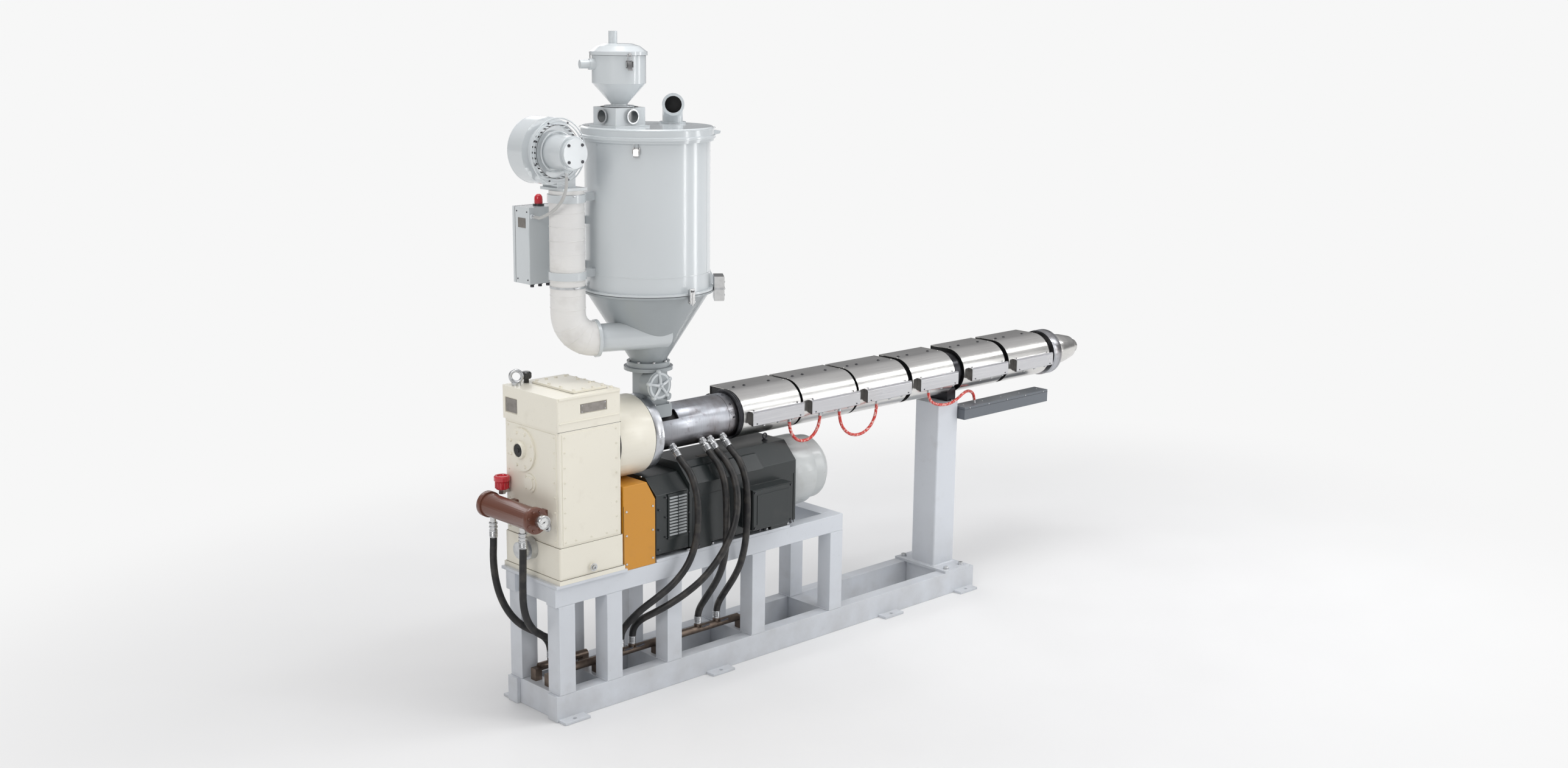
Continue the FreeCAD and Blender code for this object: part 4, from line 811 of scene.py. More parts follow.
def feed_details():
    ring = Room("thrust_flange_ring")
    feed = Room("feed_section")
    bolts = Shape()
    for at, _ in circle((ring.x1, 0, BARREL_Z), Z, Y, FLANGE_BOLTS_R, 16, TAU / 32):
        bolts.socket_bolt(at, X, 0.011, 0.011)
    for i in range(10):
        bolts.place = about_barrel(feed.x1 - 0.026, 36 * i + 12)
        bolts.socket_bolt((0, 0, 0.1242), Z, 0.0065, 0.004)
    piece("feed_flange_bolts", "black_steel", bolts, ["dark_bolt"])

    dark = Shape()
    for x in (feed.x0 + 0.001, feed.x1 - 0.058, feed.x1 - 0.002):
        dark.hoop((x, 0, BARREL_Z), X, FEED_R, 0.0010, 72, 6)
    dark.place = about_barrel(0.0, POCKET_DEGREES)
    x0, x1, half, deep, lip = POCKET
    dark.box(x0, x1, -half, half, deep, deep + 0.001)
    for side in (-0.030, 0.030):
        dark.box(x0, x1, side - 0.0008, side + 0.0008, deep, lip)
    for x in (x0 - 0.0004, x1 - 0.001):
        dark.box(x, x + 0.0014, -0.030, 0.030, deep, lip)
    piece("feed_section_seams", "black_steel", dark, ["gap"])

    nuts = Shape()
    for route in WATER_HOSES:
        nuts.place = about_barrel(route[0][0], NIPPLE_DEGREES)
        nuts.hexagon((0, 0, 0.1365), Z, 0.0395, 0.017)
        nuts.turned((0, 0, 0.1530), Z, [(0, 0.0155), (0.006, 0.0155), (0.008, 0.014)], 24)
        nuts.turned((0, 0, 0.1225), Z, [(0, 0.021), (0.008, 0.021), (0.013, 0.016)], 24)
    piece("nipple_nuts", "galvanised", nuts, bevel=0.0008)


def throat_details():
    bolts = Shape()
    for i in range(8):
        bolts.bolt(polar(THROAT_BOLTS_R, 45 * i + 22, Room("dryer_cone").z0 + 0.027), Z, 0.013)
    for x in (-0.030, 0.070):
        bolts.socket_bolt((x, -0.089, BARREL_Z + 0.150), Z, 0.007, 0.007)
    piece("throat_bolts", "galvanised", bolts)

    port = Shape()
    centre = Vector((PORT_AT[0], Room("throat").y0, BARREL_Z + PORT_AT[1]))
    port.turned(centre + 0.016 * Y, -Y,
                [(0, 0.0745), (0.010, 0.0745), (0.0165, 0.068), (0.0165, 0.058), (0.013, 0.054), (0.013, 0.020),
                 (0.024, 0.017), (0.026, 0.012), (0.026, 0)], 48)
    for _, out in circle(centre, X, Z, 0, 5, 0.4):
        spoke = ((-0.006, 0.012), (-0.006, 0.036), (-0.001, 0.060), (0.006, 0.070))
        port.wire([centre + y * Y + out * r for y, r in spoke], [0.008, 0.008, 0.007, 0.009], 10)
        port.turned(centre + 0.014 * Y + out * 0.074, -Y, [(0, 0.011), (0.016, 0.011), (0.022, 0.007), (0.022, 0)], 16)
    port.turned(centre - 0.010 * Y, -Y, [(0, 0.008), (0.010, 0.008), (0.010, 0.0)], 20)
    piece("throat_port_lid", "dryer_paint", port, bevel=0.0008)


# ---- barrel and its heaters ----
SHROUD_R = 0.138
SHROUD_FAR = 0.152
SHROUD_DROP = 0.118
FAN_OFFSET = 0.088
FAN_Y = 0.250
FAN_HALF = 0.037
BARREL_R = 0.1388
END_RING_R = 0.1475
END_BOLTS_R = 0.122


def zones():
    """The lengthwise ends of the heater shrouds, from the solids of the CAD node."""
    xs = sorted({round(v.co.x, 4) for v in frame["nodes"]["heater_shrouds"].data.vertices})
    return list(zip(xs[0::2], xs[1::2]))


def shroud_outline(shrink):
    """Section of a shroud as y and z about the screw axis: round, with a square far side."""
    radius, far, drop = SHROUD_R - shrink, SHROUD_FAR - shrink, SHROUD_DROP - shrink
    first = math.atan2(-drop, math.sqrt(radius ** 2 - drop ** 2))
    points = [(radius * math.cos(a), radius * math.sin(a)) for a in spread(first, -1.5 * math.pi, 44)]
    return points + [(far, radius), (far, -drop)]


def shrouds():
    shape = Shape()
    outer, inner = shroud_outline(0.0), shroud_outline(0.002)
    high = BARREL_Z + SHROUD_R
    for x0, x1 in zones():
        shape.ink = 0
        shape.loft([[(x, y, BARREL_Z + z) for y, z in outline] for x, outline in (
            (x0 + 0.006, inner), (x0, inner), (x0, outer), (x1, outer), (x1, inner), (x1 - 0.006, inner))], caps=False)
        shape.ink = 1
        for x in (x0 + 0.006, x1 - 0.006):
            shape.face([shape.mesh.verts.new((x, y, BARREL_Z + z)) for y, z in inner])
        shape.ink = 0
        for x in (x0 + 0.004, x1 - 0.012):
            shape.box(x, x + 0.008, 0.004, 0.150, high - 0.0005, high + 0.0012)
        middle = (x0 + x1) / 2
        shape.ink = 2
        for x in (middle - 0.150, middle - 0.070, middle + 0.120):
            shape.turned((x, 0.030, high - 0.0005), Z,
                         [(0, 0.011), (0.0012, 0.011), (0.0012, 0.007), (0.005, 0.0065), (0.005, 0)], 20)
        for x in (middle - 0.110, middle + 0.110):
            for start, end, radius, sides in ((0.1515, 0.157, 0.007, 16), (0.157, 0.166, 0.004, 12)):
                shape.rod((x, start, BARREL_Z + 0.105), (x, end, BARREL_Z + 0.105), radius, sides)
        shape.ink = 3
        shape.turned((middle + 0.02, 0.150, BARREL_Z + 0.112), Y,
                     [(0, 0.013), (0.010, 0.013), (0.014, 0.010), (0.030, 0.010), (0.030, 0)], 20)
    piece("heater_shroud_sheets", "polished_steel", shape, ["polished_steel", "gap", "dark_bolt", "galvanised"],
          replaces=["heater_shrouds"])


def terminal_covers():
    """Folded sheet boxes over the heater terminals, with lips and screws; their dark grey ends and the dark box inside
    them are painted shade.
    """
    covers = Room("heater_terminal_covers")
    front, back, low, high = covers.y0, -0.100, covers.z0, covers.z1
    folded = [(back, high), (front + 0.010, high), (front, high - 0.010), (front, low + 0.003), (front + 0.003, low),
              (front + 0.022, low), (front + 0.022, low + 0.002), (front + 0.005, low + 0.002),
              (front + 0.002, low + 0.005), (front + 0.002, high - 0.011), (front + 0.011, high - 0.002),
              (back, high - 0.002)]
    shape = Shape()
    for x0, x1 in zones():
        a, b = x0 + 0.038, x1 - 0.006
        shape.ink = 0
        shape.bar(X, folded, a, b)
        shape.box(b - 0.002, b, front + 0.001, back, low + 0.001, high - 0.001)
        # the grey end plate is painted shade; the thin strip along the top takes the same grey
        shape.ink = 4
        shape.box(a + 0.009, a + 0.011, front + 0.004, back, low + 0.002, high - 0.004)
        shape.box(a + 0.0005, b, back - 0.012, back - 0.009, high - 0.001, high + 0.0006)
        # a dark box filling the inside of the cover: painted shade
        shape.ink = 1
        shape.box(a + 0.013, b - 0.006, front + 0.020, back, low + 0.004, high - 0.003)
        shape.ink = 2
        for x in (a + 0.030, b - 0.030):
            shape.socket_bolt((x, front + 0.030, high), Z, 0.005, 0.003)
            shape.socket_bolt((x, front, low + 0.012), -Y, 0.004, 0.0025)
        shape.ink = 3
        for i in range(3):
            shape.turned((a + 0.10 + 0.11 * i, front + 0.022, low + 0.004), -Z,
                         [(0, 0.011), (0.008, 0.011), (0.011, 0.008), (0.016, 0.008), (0.016, 0)], 16)
    piece("terminal_cover_sheets", "polished_steel", shape,
          ["cover_steel", "gap", "dark_bolt", "galvanised", "cover_shade_grey"], 0.0006, replaces=["heater_terminal_covers"])


def fan(shape, x):
    """A small centrifugal fan: banded scroll, motor, outlet flange and spoked chrome guard."""
    z = BARREL_Z - 0.016
    axis = Vector((x, FAN_Y, z))
    shape.ink = 0
    outline = []
    for degrees in spread(92, -215, 30):
        grow = 0.074 + 0.010 * (92 - degrees) / 307
        outline.append((FAN_Y + grow * math.sin(math.radians(degrees)), z + grow * math.cos(math.radians(degrees))))
    outline += [(0.154, z + 0.020), (0.154, z + 0.083), (FAN_Y - 0.010, z + 0.083)]
    shape.bar(X, outline, x - FAN_HALF, x + FAN_HALF)
    shape.box(x - 0.045, x + 0.045, 0.152, 0.160, z, z + 0.094)
    near, far = axis - FAN_HALF * X, axis + FAN_HALF * X
    for side in (near, far):
        shape.hoop(side, X, 0.070, 0.003, 40, 6)
    shape.turned(far, X, [(0, 0.050), (0.004, 0.050), (0.006, 0.034), (0.036, 0.034), (0.042, 0.028), (0.042, 0)], 32)
    for at, _ in circle(far, Y, Z, 0.035, 12):
        shape.rod(at + 0.008 * X, at + 0.034 * X, 0.0018, 6)
    shape.turned(near, -X, [(0.0005, 0.056), (0.006, 0.058), (0.006, 0.052), (-0.004, 0.046)], 40)
    # a dark disc in the inlet behind the guard: painted shade of the opening
    shape.ink = 1
    shape.turned(near, -X, [(0.0008, 0.046), (0.0008, 0)], 40)
    shape.ink = 2
    guard = near - 0.009 * X
    for radius in (0.012, 0.024, 0.036, 0.048):
        shape.hoop(guard, X, radius, 0.0012, 36, 6)
    for _, out in circle(guard, Y, Z, 0, 4, TAU / 8):
        shape.rod(guard + out * 0.004, guard + out * 0.055, 0.0022, 8)
        shape.rod(guard + out * 0.055, guard + out * 0.055 + 0.008 * X, 0.003, 8)
    shape.rod(guard - 0.001 * X, guard + 0.003 * X, 0.012, 20)
    for side in (-0.035, 0.035):
        shape.bolt((x + side, 0.160, z + 0.086), Y, 0.008)


def fans():
    shape = Shape()
    for (x0, x1), offset in product(zones(), (-FAN_OFFSET, FAN_OFFSET)):
        fan(shape, (x0 + x1) / 2 + offset)
    piece("fan_housings", "fan_black", shape, ["fan_black", "gap", "chrome"], replaces=["cooling_fans"])


def barrel_end_details():
    ring = Room("barrel_end_ring")
    barrel = Room("barrel")
    shape = Shape()
    for x in (ring.x0 + 0.012, ring.x1 - 0.030):
        shape.hoop((x, 0, BARREL_Z), X, END_RING_R, 0.0012, 72, 6)
    for at, _ in circle((ring.x1 - 0.014, 0, BARREL_Z), Z, Y, END_BOLTS_R, 10, TAU / 20):
        shape.hexagon(at, X, 0.027, 0.016)
    for x in (barrel.x0 + 0.010, barrel.x0 + 0.024):
        shape.hoop((x, 0, BARREL_Z), X, BARREL_R, 0.0016, 72, 6)
    piece("barrel_end_bolts", "black_steel", shape, ["dark_bolt"])


# ---- drive ----
MOTOR_TOP = 1.212
MOTOR_SIDE = -0.216
MOTOR_AXIS_Z = 0.986
GRILLE = (-0.044, 0.090, 0.838, 1.076)                # x and z ends
TERMINAL_BOX = (0.490, 0.790, -0.300, 0.790, 1.020)   # x ends, front, z ends


def guard_details():
    guard = Room("coupling_guard")
    screws = Shape()
    for x in (guard.x0 + 0.020, guard.x1 - 0.020):
        for z in (0.035, 0.190, 0.320):
            screws.bolt((x, guard.y0, guard.z0 + z), -Y, 0.010)
        for y in (-0.12, 0.0, 0.12):
            screws.bolt((x, y, guard.z1), Z, 0.010)
    piece("guard_screws", "galvanised", screws)
    dark = Shape()
    # a dark disc of painted shade for a hole in the guard top; the strips below are dark joints
    dark.disc((guard.x0 + 0.046, -0.110, guard.z1 - 0.0002), Z, 0.010, FILM, 24)
    for x in (guard.x0 + 0.001, guard.x1 - 0.003):
        dark.box(x, x + 0.002, guard.y0 - 0.0006, guard.y0 + 0.001, guard.z0 + 0.004, guard.z1 - 0.105)
    piece("guard_seams_and_hole_shade", "guard_paint", dark, ["gap"])


def motor_details():
    cover = Room("motor_front_cover")
    body = Room("motor_body")
    cowl = Room("motor_end_cowl")
    side = MOTOR_SIDE
    x0, x1, z0, z1 = GRILLE
    middle = (x0 + x1) / 2
    grille = Shape()
    grille.box(x0, x1, side - 0.0010, side + 0.002, z0, z1)
    grille.ink = 1
    for (start, end), z in product(((x0 + 0.008, middle - 0.003), (middle + 0.003, x1 - 0.008)),
                                   spread(z0 + 0.014, z1 - 0.020, 13)):
        grille.bar(X, [(side, z + 0.010), (side - 0.0055, z + 0.001), (side - 0.0055, z), (side, z)], start, end)
    grille.ink = 0
    for a, b, c, d in ((x0 - 0.004, x1 + 0.004, z1 - 0.003, z1 + 0.006),
                       (x0 - 0.004, x1 + 0.004, z0 - 0.006, z0 + 0.003),
                       (middle - 0.0015, middle + 0.0015, z0, z1)):
        grille.box(a, b, side - 0.0030, side + 0.002, c, d)
    piece("motor_grille", "motor_paint", grille, ["motor_paint", "louvre_grey"])

    screws = Shape()
    for x, z in product((x0 - 0.016, x1 + 0.010), (z0 + 0.01, (z0 + z1) / 2, z1 - 0.01)):
        screws.bolt((x, cover.y0 - 0.0005, z), -Y, 0.008)
    bx0, bx1, front, bz0, bz1 = TERMINAL_BOX
    for x, z in product((bx0 + 0.014, bx1 - 0.014), (bz0 + 0.014, bz1 - 0.014)):
        screws.bolt((x, front - 0.004, z), -Y, 0.010)
    for x in (0.17, 0.395, 0.62, 0.86):
        screws.bolt((x, side, body.z0 + 0.016), -Y, 0.013)
    for z in (0.05, 0.16, 0.27):
        screws.bolt((cover.x0 + 0.018, cover.y0, body.z0 + z), -Y, 0.009)
    for x in (0.190, 0.395, 0.600):
        screws.socket_bolt((x, -0.1957, body.z0 + 0.387), Vector((0, -0.714, 0.700)), 0.009, 0.005)
    for x, y in ((0.395, -0.050), (0.800, -0.060)):
        screws.turned((x, y, MOTOR_TOP), Z, [(0, 0.017), (0.005, 0.017), (0.009, 0.008), (0.012, 0.008)], 24)
        screws.hoop((x, y, MOTOR_TOP + 0.026), Y, 0.0145, 0.0045, 28, 8)
    screws.ink = 1
    screws.box(0.270, 0.345, -0.112, -0.070, MOTOR_TOP - 0.001, MOTOR_TOP + 0.0012)
    piece("motor_screws", "black_steel", screws, ["dark_bolt", "bare_plate"])

    panels = Shape()
    panels.box(bx0 + 0.004, bx1 - 0.004, front - 0.004, front + 0.001, bz0 + 0.004, bz1 - 0.004)
    panels.box(bx0 + 0.030, bx1 - 0.030, front - 0.007, front - 0.003, bz0 + 0.030, bz1 - 0.030)
    for x in (0.128, 0.880):
        panels.box(x, x + 0.006, side - 0.003, side + 0.001, body.z0 + 0.010, body.z0 + 0.300)
    piece("motor_box_lid", "motor_paint", panels, bevel=0.001)

    dark = Shape()
    for a, b, c, d in ((0.149, 0.151, 0.02, 0.30), (0.439, 0.441, 0.02, 0.30), (0.150, 0.440, 0.300, 0.302)):
        dark.box(a, b, side - 0.0006, side + 0.001, body.z0 + c, body.z0 + d)
    for radius in (0.205, 0.190):
        dark.hoop((cowl.x0 + 0.004 + (0.206 - radius), 0, MOTOR_AXIS_Z), X, radius + 0.0012, 0.0014, 64, 6)
    for ring in range(7):
        dark.hoop((cowl.x1 - 0.0005, 0, MOTOR_AXIS_Z), X, 0.018 + 0.010 * ring, 0.0022, 40, 6)
    piece("motor_seams", "black_steel", dark, ["gap"])


# ---- dryer ----
DRYER_R = 0.328
RIM_R = 0.3455
LID_R = 0.353
HINGE_LEAVES = ((2.0972, 2.156), (2.168, 2.2268))      # lower and upper ends
LATCH_ENDS = (2.884, 2.956)
CLAMP_DEGREES = (-91, 29, 149)
HINGE_DEGREES = -38
LID_LATCH_DEGREES = (-139, -20, 100)
RECEIVER_LATCH_DEGREES = (-107, 13, 133)
EXHAUST_MOUTH = Vector((0.152, -0.028, 3.114))
EXHAUST_FACING = Vector((-0.622, -0.783, 0.0)).normalized()


def outward(degrees, radius, centre=Vector((0, 0, 0))):
    """A frame at a radius about an upright axis whose X points out."""
    return Matrix.Translation(centre) @ around_z(degrees) @ Matrix.Translation((radius, 0, 0))


def dryer_details():
    body = Room("dryer_body")
    cone = Room("dryer_cone")
    lid = Room("dryer_lid")
    lines = Shape()
    for z, radius, thick, sides in ((body.z0, RIM_R, 0.0016, 96), (lid.z0 + 0.0005, 0.3290, 0.0022, 96),
                                    (cone.z0, 0.1145, 0.0012, 64)):
        lines.hoop((0, 0, z), Z, radius, thick, sides, 6)
    piece("dryer_gaskets", "black_steel", lines, ["gap"])

    seams = Shape()
    for z, radius in ((body.z0 + 0.098, DRYER_R), (lid.z0 + 0.006, LID_R), (lid.z1 - 0.008, LID_R - 0.001)):
        seams.hoop((0, 0, z), Z, radius - 0.0004, 0.0016, 96, 6)
    seams.place = around_z(-61)
    seams.box(0.3274, 0.3286, -0.0035, 0.0035, body.z0 + 0.10, lid.z0)
    piece("dryer_weld_seams", "dryer_paint", seams)

    steel = Shape()
    rim = cone.z1
    for degrees in CLAMP_DEGREES:
        steel.place = outward(degrees, 0.3645)
        steel.box(-0.004, 0.004, -0.016, 0.016, rim - 0.040, rim + 0.040)
        steel.rod((0.004, 0, rim - 0.048), (0.004, 0, rim + 0.020), 0.0045, 12)
        steel.hexagon((0.004, 0, rim + 0.020), Z, 0.018, 0.012)
        steel.rod((-0.004, -0.022, rim - 0.030), (-0.004, 0.022, rim - 0.030), 0.005, 12)
    steel.place = around_z(HINGE_DEGREES)
    for low, high in HINGE_LEAVES:
        steel.box(0.3475, 0.3988, -0.0588, 0.0588, low, high)
        steel.box(0.3988, 0.4012, -0.052, 0.052, low + 0.006, high - 0.006)
        for y in (-0.036, 0.036):
            steel.socket_bolt((0.4012, y, (low + high) / 2), X, 0.006, 0.0035)
    for y in (-0.044, -0.022, 0.0, 0.022, 0.044):
        steel.rod((0.398, y - 0.009, 2.162), (0.398, y + 0.009, 2.162), 0.0075, 20)
    for degrees in LID_LATCH_DEGREES:
        toggle_latch(steel, outward(degrees, DRYER_R), *LATCH_ENDS, 0.018)
    piece("dryer_latches", "galvanised", steel, ["chrome"])


def exhaust_details():
    """A dark sleeve and end disc inside the exhaust elbow: painted shade in its bore."""
    shape = Shape()
    shape.turned(EXHAUST_MOUTH - 0.060 * EXHAUST_FACING, EXHAUST_FACING,
                 [(0, 0), (0, 0.0437), (0.050, 0.0437), (0.050, 0.0425), (0.002, 0.0425), (0.002, 0)], 48)
    piece("exhaust_bore_shade", "black_steel", shape, ["gap"])


def receiver_details():
    box = Room("receiver_discharge_box")
    lid = Room("receiver_lid")
    steel = Shape()
    for degrees in RECEIVER_LATCH_DEGREES:
        toggle_latch(steel, outward(degrees, 0.137, Vector((lid.x, lid.y, 0))), lid.z0 - 0.062, lid.z0 + 0.012, 0.017)
    for x, y in product((box.x0 + 0.012, box.x1 - 0.012), (box.y0 + 0.012, box.y1 - 0.012)):
        if math.hypot(x, y) < 0.33:
            steel.bolt((x, y, box.z0 + 0.006), Z, 0.009)
    piece("receiver_latches", "galvanised", steel, ["chrome"])

    lines = Shape()
    lines.hoop((lid.x, lid.y, lid.z0), Z, 0.1372, 0.0020, 72, 6)
    lines.hoop((lid.x, lid.y, box.z1 + 0.001), Z, 0.0955, 0.0016, 72, 6)
    sights = [(Vector((box.x0, box.y, box.z + 0.006)), -X), (Vector((box.x, box.y0, box.z + 0.006)), -Y)]
    # dark discs behind the sight glasses: painted shade of the box inside
    for at, out in sights:
        lines.disc(at, out, 0.031, FILM, 32)
    piece("receiver_gaskets_and_sight_shade", "black_steel", lines, ["gap"])

    rings = Shape()
    for at, out in sights:
        rings.ink = 0
        rings.band(at, out, 0.031, 0.038, 0.004, 32)
        rings.ink = 1
        rings.turned(at, out, [(0, 0.030), (0.0022, 0.030), (0.0028, 0.024), (0.0028, 0)], 32)
    piece("receiver_sight_glasses", "galvanised", rings, ["galvanised", "glass"])


# ---- hot air side ----
BLOWER_X = -0.593
BLOWER_Z = 2.902
PIPE_AXIS = Vector((-0.492, 0.043, 0))
PIPE_R = 0.0895
BEND_CENTRE = Vector((-0.360, -0.003, 2.072))
BEND_RADIUS = 0.140
CONTROL_BOX_TOP = 2.600


def blower_details():
    scroll = Room("blower_scroll")
    motor = Room("blower_motor")
    paint = Shape()
    for radius in (0.150, 0.166):
        for y in (scroll.y0 + 0.001, scroll.y1 - 0.001):
            paint.hoop((BLOWER_X, y, BLOWER_Z), Y, radius, 0.0035, 72, 8)
    paint.hoop((BLOWER_X, motor.y0 + 0.148, BLOWER_Z), Y, 0.100, 0.004, 64, 8)
    paint.hoop((BLOWER_X, motor.y0 + 0.024, BLOWER_Z), Y, 0.0835, 0.0035, 64, 8)
    piece("blower_rings", "dryer_paint", paint)

    dark = Shape()
    # thin dark strips round the motor: painted shade standing for its vent slots; the ring below is a dark joint
    for at, out in circle((BLOWER_X, motor.y0 + 0.150, BLOWER_Z), X, Z, 0.1316, 30):
        across = Vector((-out.z, 0, out.x)) * 0.0045
        dark.prism([at - across, at + across, at + across + out * 0.0008, at - across + out * 0.0008], 0.030 * Y)
    dark.hoop((BLOWER_X, scroll.y0, BLOWER_Z), Y, 0.133, 0.0012, 64, 6)
    piece("blower_slot_shade", "black_steel", dark, ["gap"])

    bolts = Shape()
    for at, _ in circle((BLOWER_X, motor.y0, BLOWER_Z), X, Z, 0.058, 4, TAU / 8):
        bolts.socket_bolt(at, -Y, 0.008, 0.004)
    for at, _ in circle((BLOWER_X, scroll.y0, BLOWER_Z), X, Z, 0.152, 8, TAU / 16):
        bolts.bolt(at, -Y, 0.009)
    piece("blower_bolts", "black_steel", bolts, ["dark_bolt"])


def pipe_details():
    pipe = Room("insulated_pipe")
    rng = random.Random(7)
    wraps = Shape()
    for z in spread(pipe.z0 + 0.26, pipe.z1 - 0.045, 9):
        tilt = Vector((rng.uniform(-0.06, 0.06), rng.uniform(-0.06, 0.06), 1)).normalized()
        wraps.hoop(PIPE_AXIS + z * Z, tilt, 0.0896, rng.uniform(0.0016, 0.0030), 48, 8)
    start = PIPE_AXIS + BEND_CENTRE.z * Z
    out = (start - BEND_CENTRE).normalized()
    for degrees in (24, 46, 68):
        sine, cosine = math.sin(math.radians(degrees)), math.cos(math.radians(degrees))
        middle = start + BEND_RADIUS * (out * (cosine - 1) - Z * sine)
        wraps.hoop(middle, (-out * sine - Z * cosine).normalized(), 0.0892, 0.0024, 48, 8)
    piece("pipe_lagging_wraps", "lagging", wraps)

    bands = Shape()
    for z in (pipe.z1 - 0.030, 2.205):
        bands.band(PIPE_AXIS + z * Z, Z, PIPE_R, PIPE_R + 0.003, 0.012, 56)
        at = polar(0.0935, -100, z + 0.006, PIPE_AXIS)
        bands.rod(at - 0.012 * X, at + 0.012 * X, 0.005, 12)
    piece("pipe_bands", "galvanised", bands)


def control_box_details():
    box = Room("dryer_control_box")
    high = CONTROL_BOX_TOP
    hinges = Shape()
    hinges.box(box.x0 + 0.010, box.x1 - 0.010, box.y1 - 0.0005, box.y1 - 0.0001, box.z0 + 0.012, high - 0.012)
    for z in (box.z0 + 0.060, high - 0.060):
        hinges.rod((box.x1 - 0.004, box.y1 - 0.012, z - 0.022), (box.x1 - 0.004, box.y1 - 0.012, z + 0.022), 0.006, 12)
    piece("control_box_hinges", "black_steel", hinges, ["dark_bolt"])
    dark = Shape()
    seam = box.y1 - 0.026
    for a, b, c, d in ((box.x0 - 0.0006, box.x0 + 0.001, box.z0 + 0.001, high - 0.001),
                       (box.x1 - 0.001, box.x1 + 0.0006, box.z0 + 0.001, high - 0.001),
                       (box.x0, box.x1, high - 0.001, high + 0.0006)):
        dark.box(a, b, seam - 0.001, seam + 0.001, c, d)
    piece("control_box_seams", "black_steel", dark, ["gap"])
    plate = Shape()
    plate.box(box.x0 - 0.002, box.x0 + 0.001, 0.262, 0.326, high - 0.105, high - 0.055)
    plate.ink = 1
    for y, z in product((0.250, 0.338), (high - 0.022, box.z0 + 0.022)):
        plate.socket_bolt((box.x0, y, z), -X, 0.004, 0.002)
    for i in range(3):
        plate.turned((box.x0 + 0.055 + 0.050 * i, box.y0 + 0.070, box.z0), -Z,
                     [(0, 0.015), (0.010, 0.015), (0.014, 0.010), (0.024, 0.010), (0.024, 0)], 20)
    piece("control_box_plate", "galvanised", plate, ["bare_plate", "dark_bolt"])


def lamp_details():
    lamp = Room("alarm_lamp")
    foot = (lamp.x, lamp.y, lamp.z0)
    base = 0.98 * (lamp.x1 - lamp.x0) / 2
    shape = Shape()
    shape.turned(foot, Z, [(0, base), (0.010, base), (0.012, 0.021)], 36)
    shape.ink = 1
    shape.turned(foot, Z, [(0.012, 0.0215), (0.034, 0.0215), (0.046, 0.0200), (0.055, 0.0150), (0.060, 0.0080),
                           (0.0615, 0)], 36)
    for z in (0.018, 0.024, 0.030):
        shape.hoop((lamp.x, lamp.y, lamp.z0 + z), Z, 0.0215, 0.0011, 36, 6)
    piece("alarm_lamp_dome", "red_plastic", shape, ["black_plastic", "red_plastic"], replaces=["alarm_lamp"])


# ---- oil cooling ----
COOLER_X = -0.872
COOLER_Z = 1.090
GAUGE_X = -0.866
GAUGE_Z = 1.094


def cooler_details():
    cooler = Room("oil_cooler")
    bolts = Shape()
    for y, along in ((cooler.y0 + 0.0002, -Y), (cooler.y1 - 0.0002, Y)):
        for at, _ in circle((COOLER_X, y, COOLER_Z), X, Z, 0.052, 8, TAU / 16):
            bolts.bolt(at, along, 0.012)
    piece("cooler_bolts", "cooler_brown", bolts)
    dark = Shape()
    for y in (cooler.y0 + 0.028, cooler.y1 - 0.028):
        dark.hoop((COOLER_X, y, COOLER_Z), Y, 0.0668, 0.0012, 56, 6)
    piece("cooler_seams", "black_steel", dark, ["gap"])

    at = Vector((GAUGE_X, Room("pressure_gauge").y0, GAUGE_Z))
    dial = Shape()
    dial.disc(at + 0.0004 * Y, -Y, 0.0320, 0.0006, 48)
    dial.ink = 1
    face = at - 0.0003 * Y
    for i in range(31):
        out = Matrix.Rotation(math.radians(9 * i - 225), 3, "Y") @ X
        inner, half = (0.0225, 0.0006) if i % 5 == 0 else (0.0250, 0.0003)
        across = Vector((-out.z, 0, out.x)) * half
        dial.prism([face + out * inner - across, face + out * 0.0285 - across, face + out * 0.0285 + across,
                    face + out * inner + across], -0.0005 * Y)
    needle = Matrix.Rotation(math.radians(-205), 3, "Y") @ X
    side = Vector((-needle.z, 0, needle.x)) * 0.0012
    base = at - 0.0012 * Y
    dial.prism([base - needle * 0.008 - side, base + needle * 0.024, base - needle * 0.008 + side], -0.0005 * Y)
    dial.rod(at, at - 0.0022 * Y, 0.0035, 20)
    dial.ink = 2
    dial.turned(at + 0.002 * Y, -Y,
                [(0, 0.0362), (0.006, 0.0362), (0.008, 0.0345), (0.008, 0.0318), (0.002, 0.0318)], 48, True)
    piece("gauge_dial", "gauge_steel", dial, ["dial", "black_plastic", "chrome"])

    clips = Shape()
    for route, rise in product(COOLER_HOSES, (0.0101, 0.0301)):
        clips.band((COOLER_X, route[0][1], route[0][2] + rise), Z, 0.0205, 0.0225, 0.008, 32)
    piece("cooler_hose_clips", "galvanised", clips)


# ---- cable tray and manifolds ----
VALVE_X = (-0.25, -0.17, 0.30, 0.44, -0.632)


def tray_details():
    tray = Room("cable_tray")
    low, high = tray.z1 - 0.016, tray.z1 - 0.0145
    seams = Shape()
    seams.box(tray.x0, tray.x1, tray.y0 - 0.0006, tray.y0 + 0.001, low, high)
    seams.box(tray.x0 - 0.0006, tray.x0 + 0.001, tray.y0, tray.y1, low, high)
    piece("tray_seams", "black_steel", seams, ["gap"])
    screws = Shape()
    for x in spread(tray.x0 + 0.05, tray.x1 - 0.05, 5):
        screws.bolt((x, tray.y0, tray.z1 - 0.008), -Y, 0.007)
        screws.bolt((x, tray.y, tray.z1), Z, 0.007)
    piece("tray_screws", "galvanised", screws)


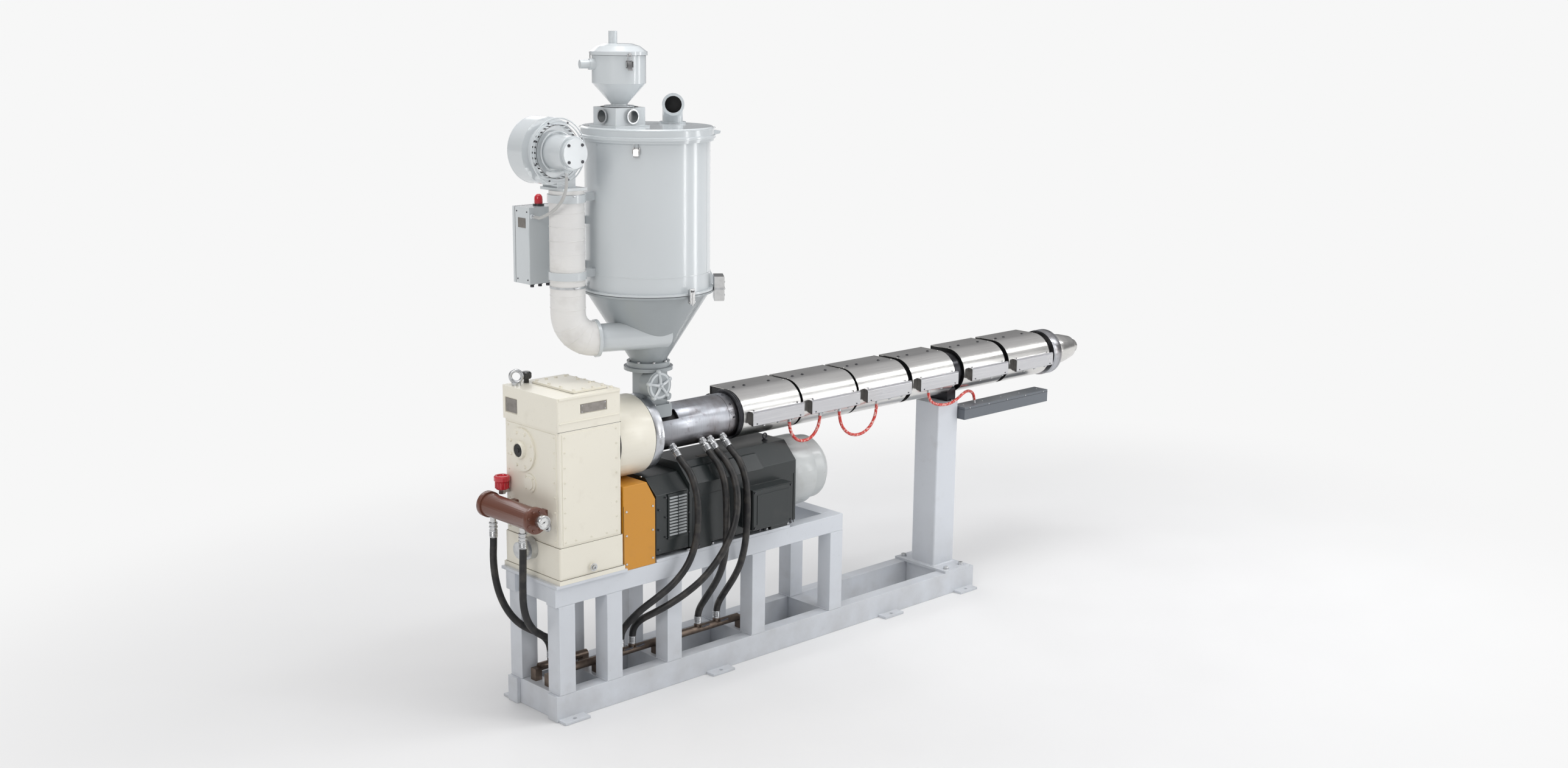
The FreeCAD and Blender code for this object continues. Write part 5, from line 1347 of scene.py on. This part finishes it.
def manifold_details():
    shape = Shape()
    for x in VALVE_X:
        centre = Vector((x, -0.06, 0.238))
        shape.ink = 0
        shape.turned(centre - 0.020 * Z, Z, [(0, 0.020), (0.008, 0.022), (0.016, 0.022), (0.020, 0.019)], 24)
        shape.hexagon(centre - 0.024 * Z, Z, 0.036, 0.010)
        stem = centre + Vector((0, -0.022, -0.012))
        shape.rod(stem, stem - 0.014 * Y, 0.006, 12)
        shape.ink = 1
        shape.wire([stem + Vector(p) for p in ((0, -0.012, 0), (0.018, -0.014, 0), (0.052, -0.016, 0.004))],
                   [0.005, 0.005, 0.006], 10)
    piece("manifold_valves", "galvanised", shape, ["pipe_brown", "dark_bolt"])


# ---- finishes of the CAD nodes ----
FINISH = {
    "thrust_flange_ring": "flange_steel", "pressure_gauge": "chrome", "oil_pipe_fittings": "chrome",
    "dryer_cone": "cone_shaded_paint", "throat": "cone_shaded_paint", "feed_section": "feed_steel", "water_manifolds": "pipe_brown",
}
EDGES = {
    0.0012: ["dryer_joint_clamps"],
    0.0015: ["thrust_flange_ring", "feed_section", "machined_seat_plates", "cable_tray", "outlet_adapter",
             "receiver_discharge_box"],
    0.002: ["gearbox_inspection_cover", "gearbox_bearing_caps", "motor_end_cowl", "frame_side_rails",
            "barrel_end_ring", "support_saddle", "oil_cooler"],
    0.0025: ["coupling_guard", "dryer_control_box"],
    0.003: ["thrust_housing", "motor_front_cover", "frame_posts", "frame_cross_members", "frame_upper_beams",
            "support_column"],
    0.004: ["gearbox_base", "motor_body"],
    0.005: ["gearbox_housing"],
    0.006: ["gearbox_top_case"],
}


def dress_nodes():
    """Give every CAD node its finish, and soften the edges of the ones that would look razor sharp."""
    for subpart in frame["record"]["subparts"]:
        node = subpart["node"]
        materials = frame["nodes"][node].data.materials
        materials.clear()
        materials.append(MATERIALS[FINISH.get(node, subpart["material_slot"])])
    for width, nodes in EDGES.items():
        for node in nodes:
            round_edges(frame["nodes"][node], width, weld=True)


BARREL_Z = Room("barrel").z

camera()
cords()
dress_nodes()
for details in (bed_details, gearbox_details, oil_caps, feed_details, throat_details, shrouds, terminal_covers, fans,
                barrel_end_details, guard_details, motor_details, dryer_details, exhaust_details, receiver_details,
                blower_details, pipe_details, control_box_details, lamp_details, cooler_details, tray_details,
                manifold_details):
    details()
studio()
floor()
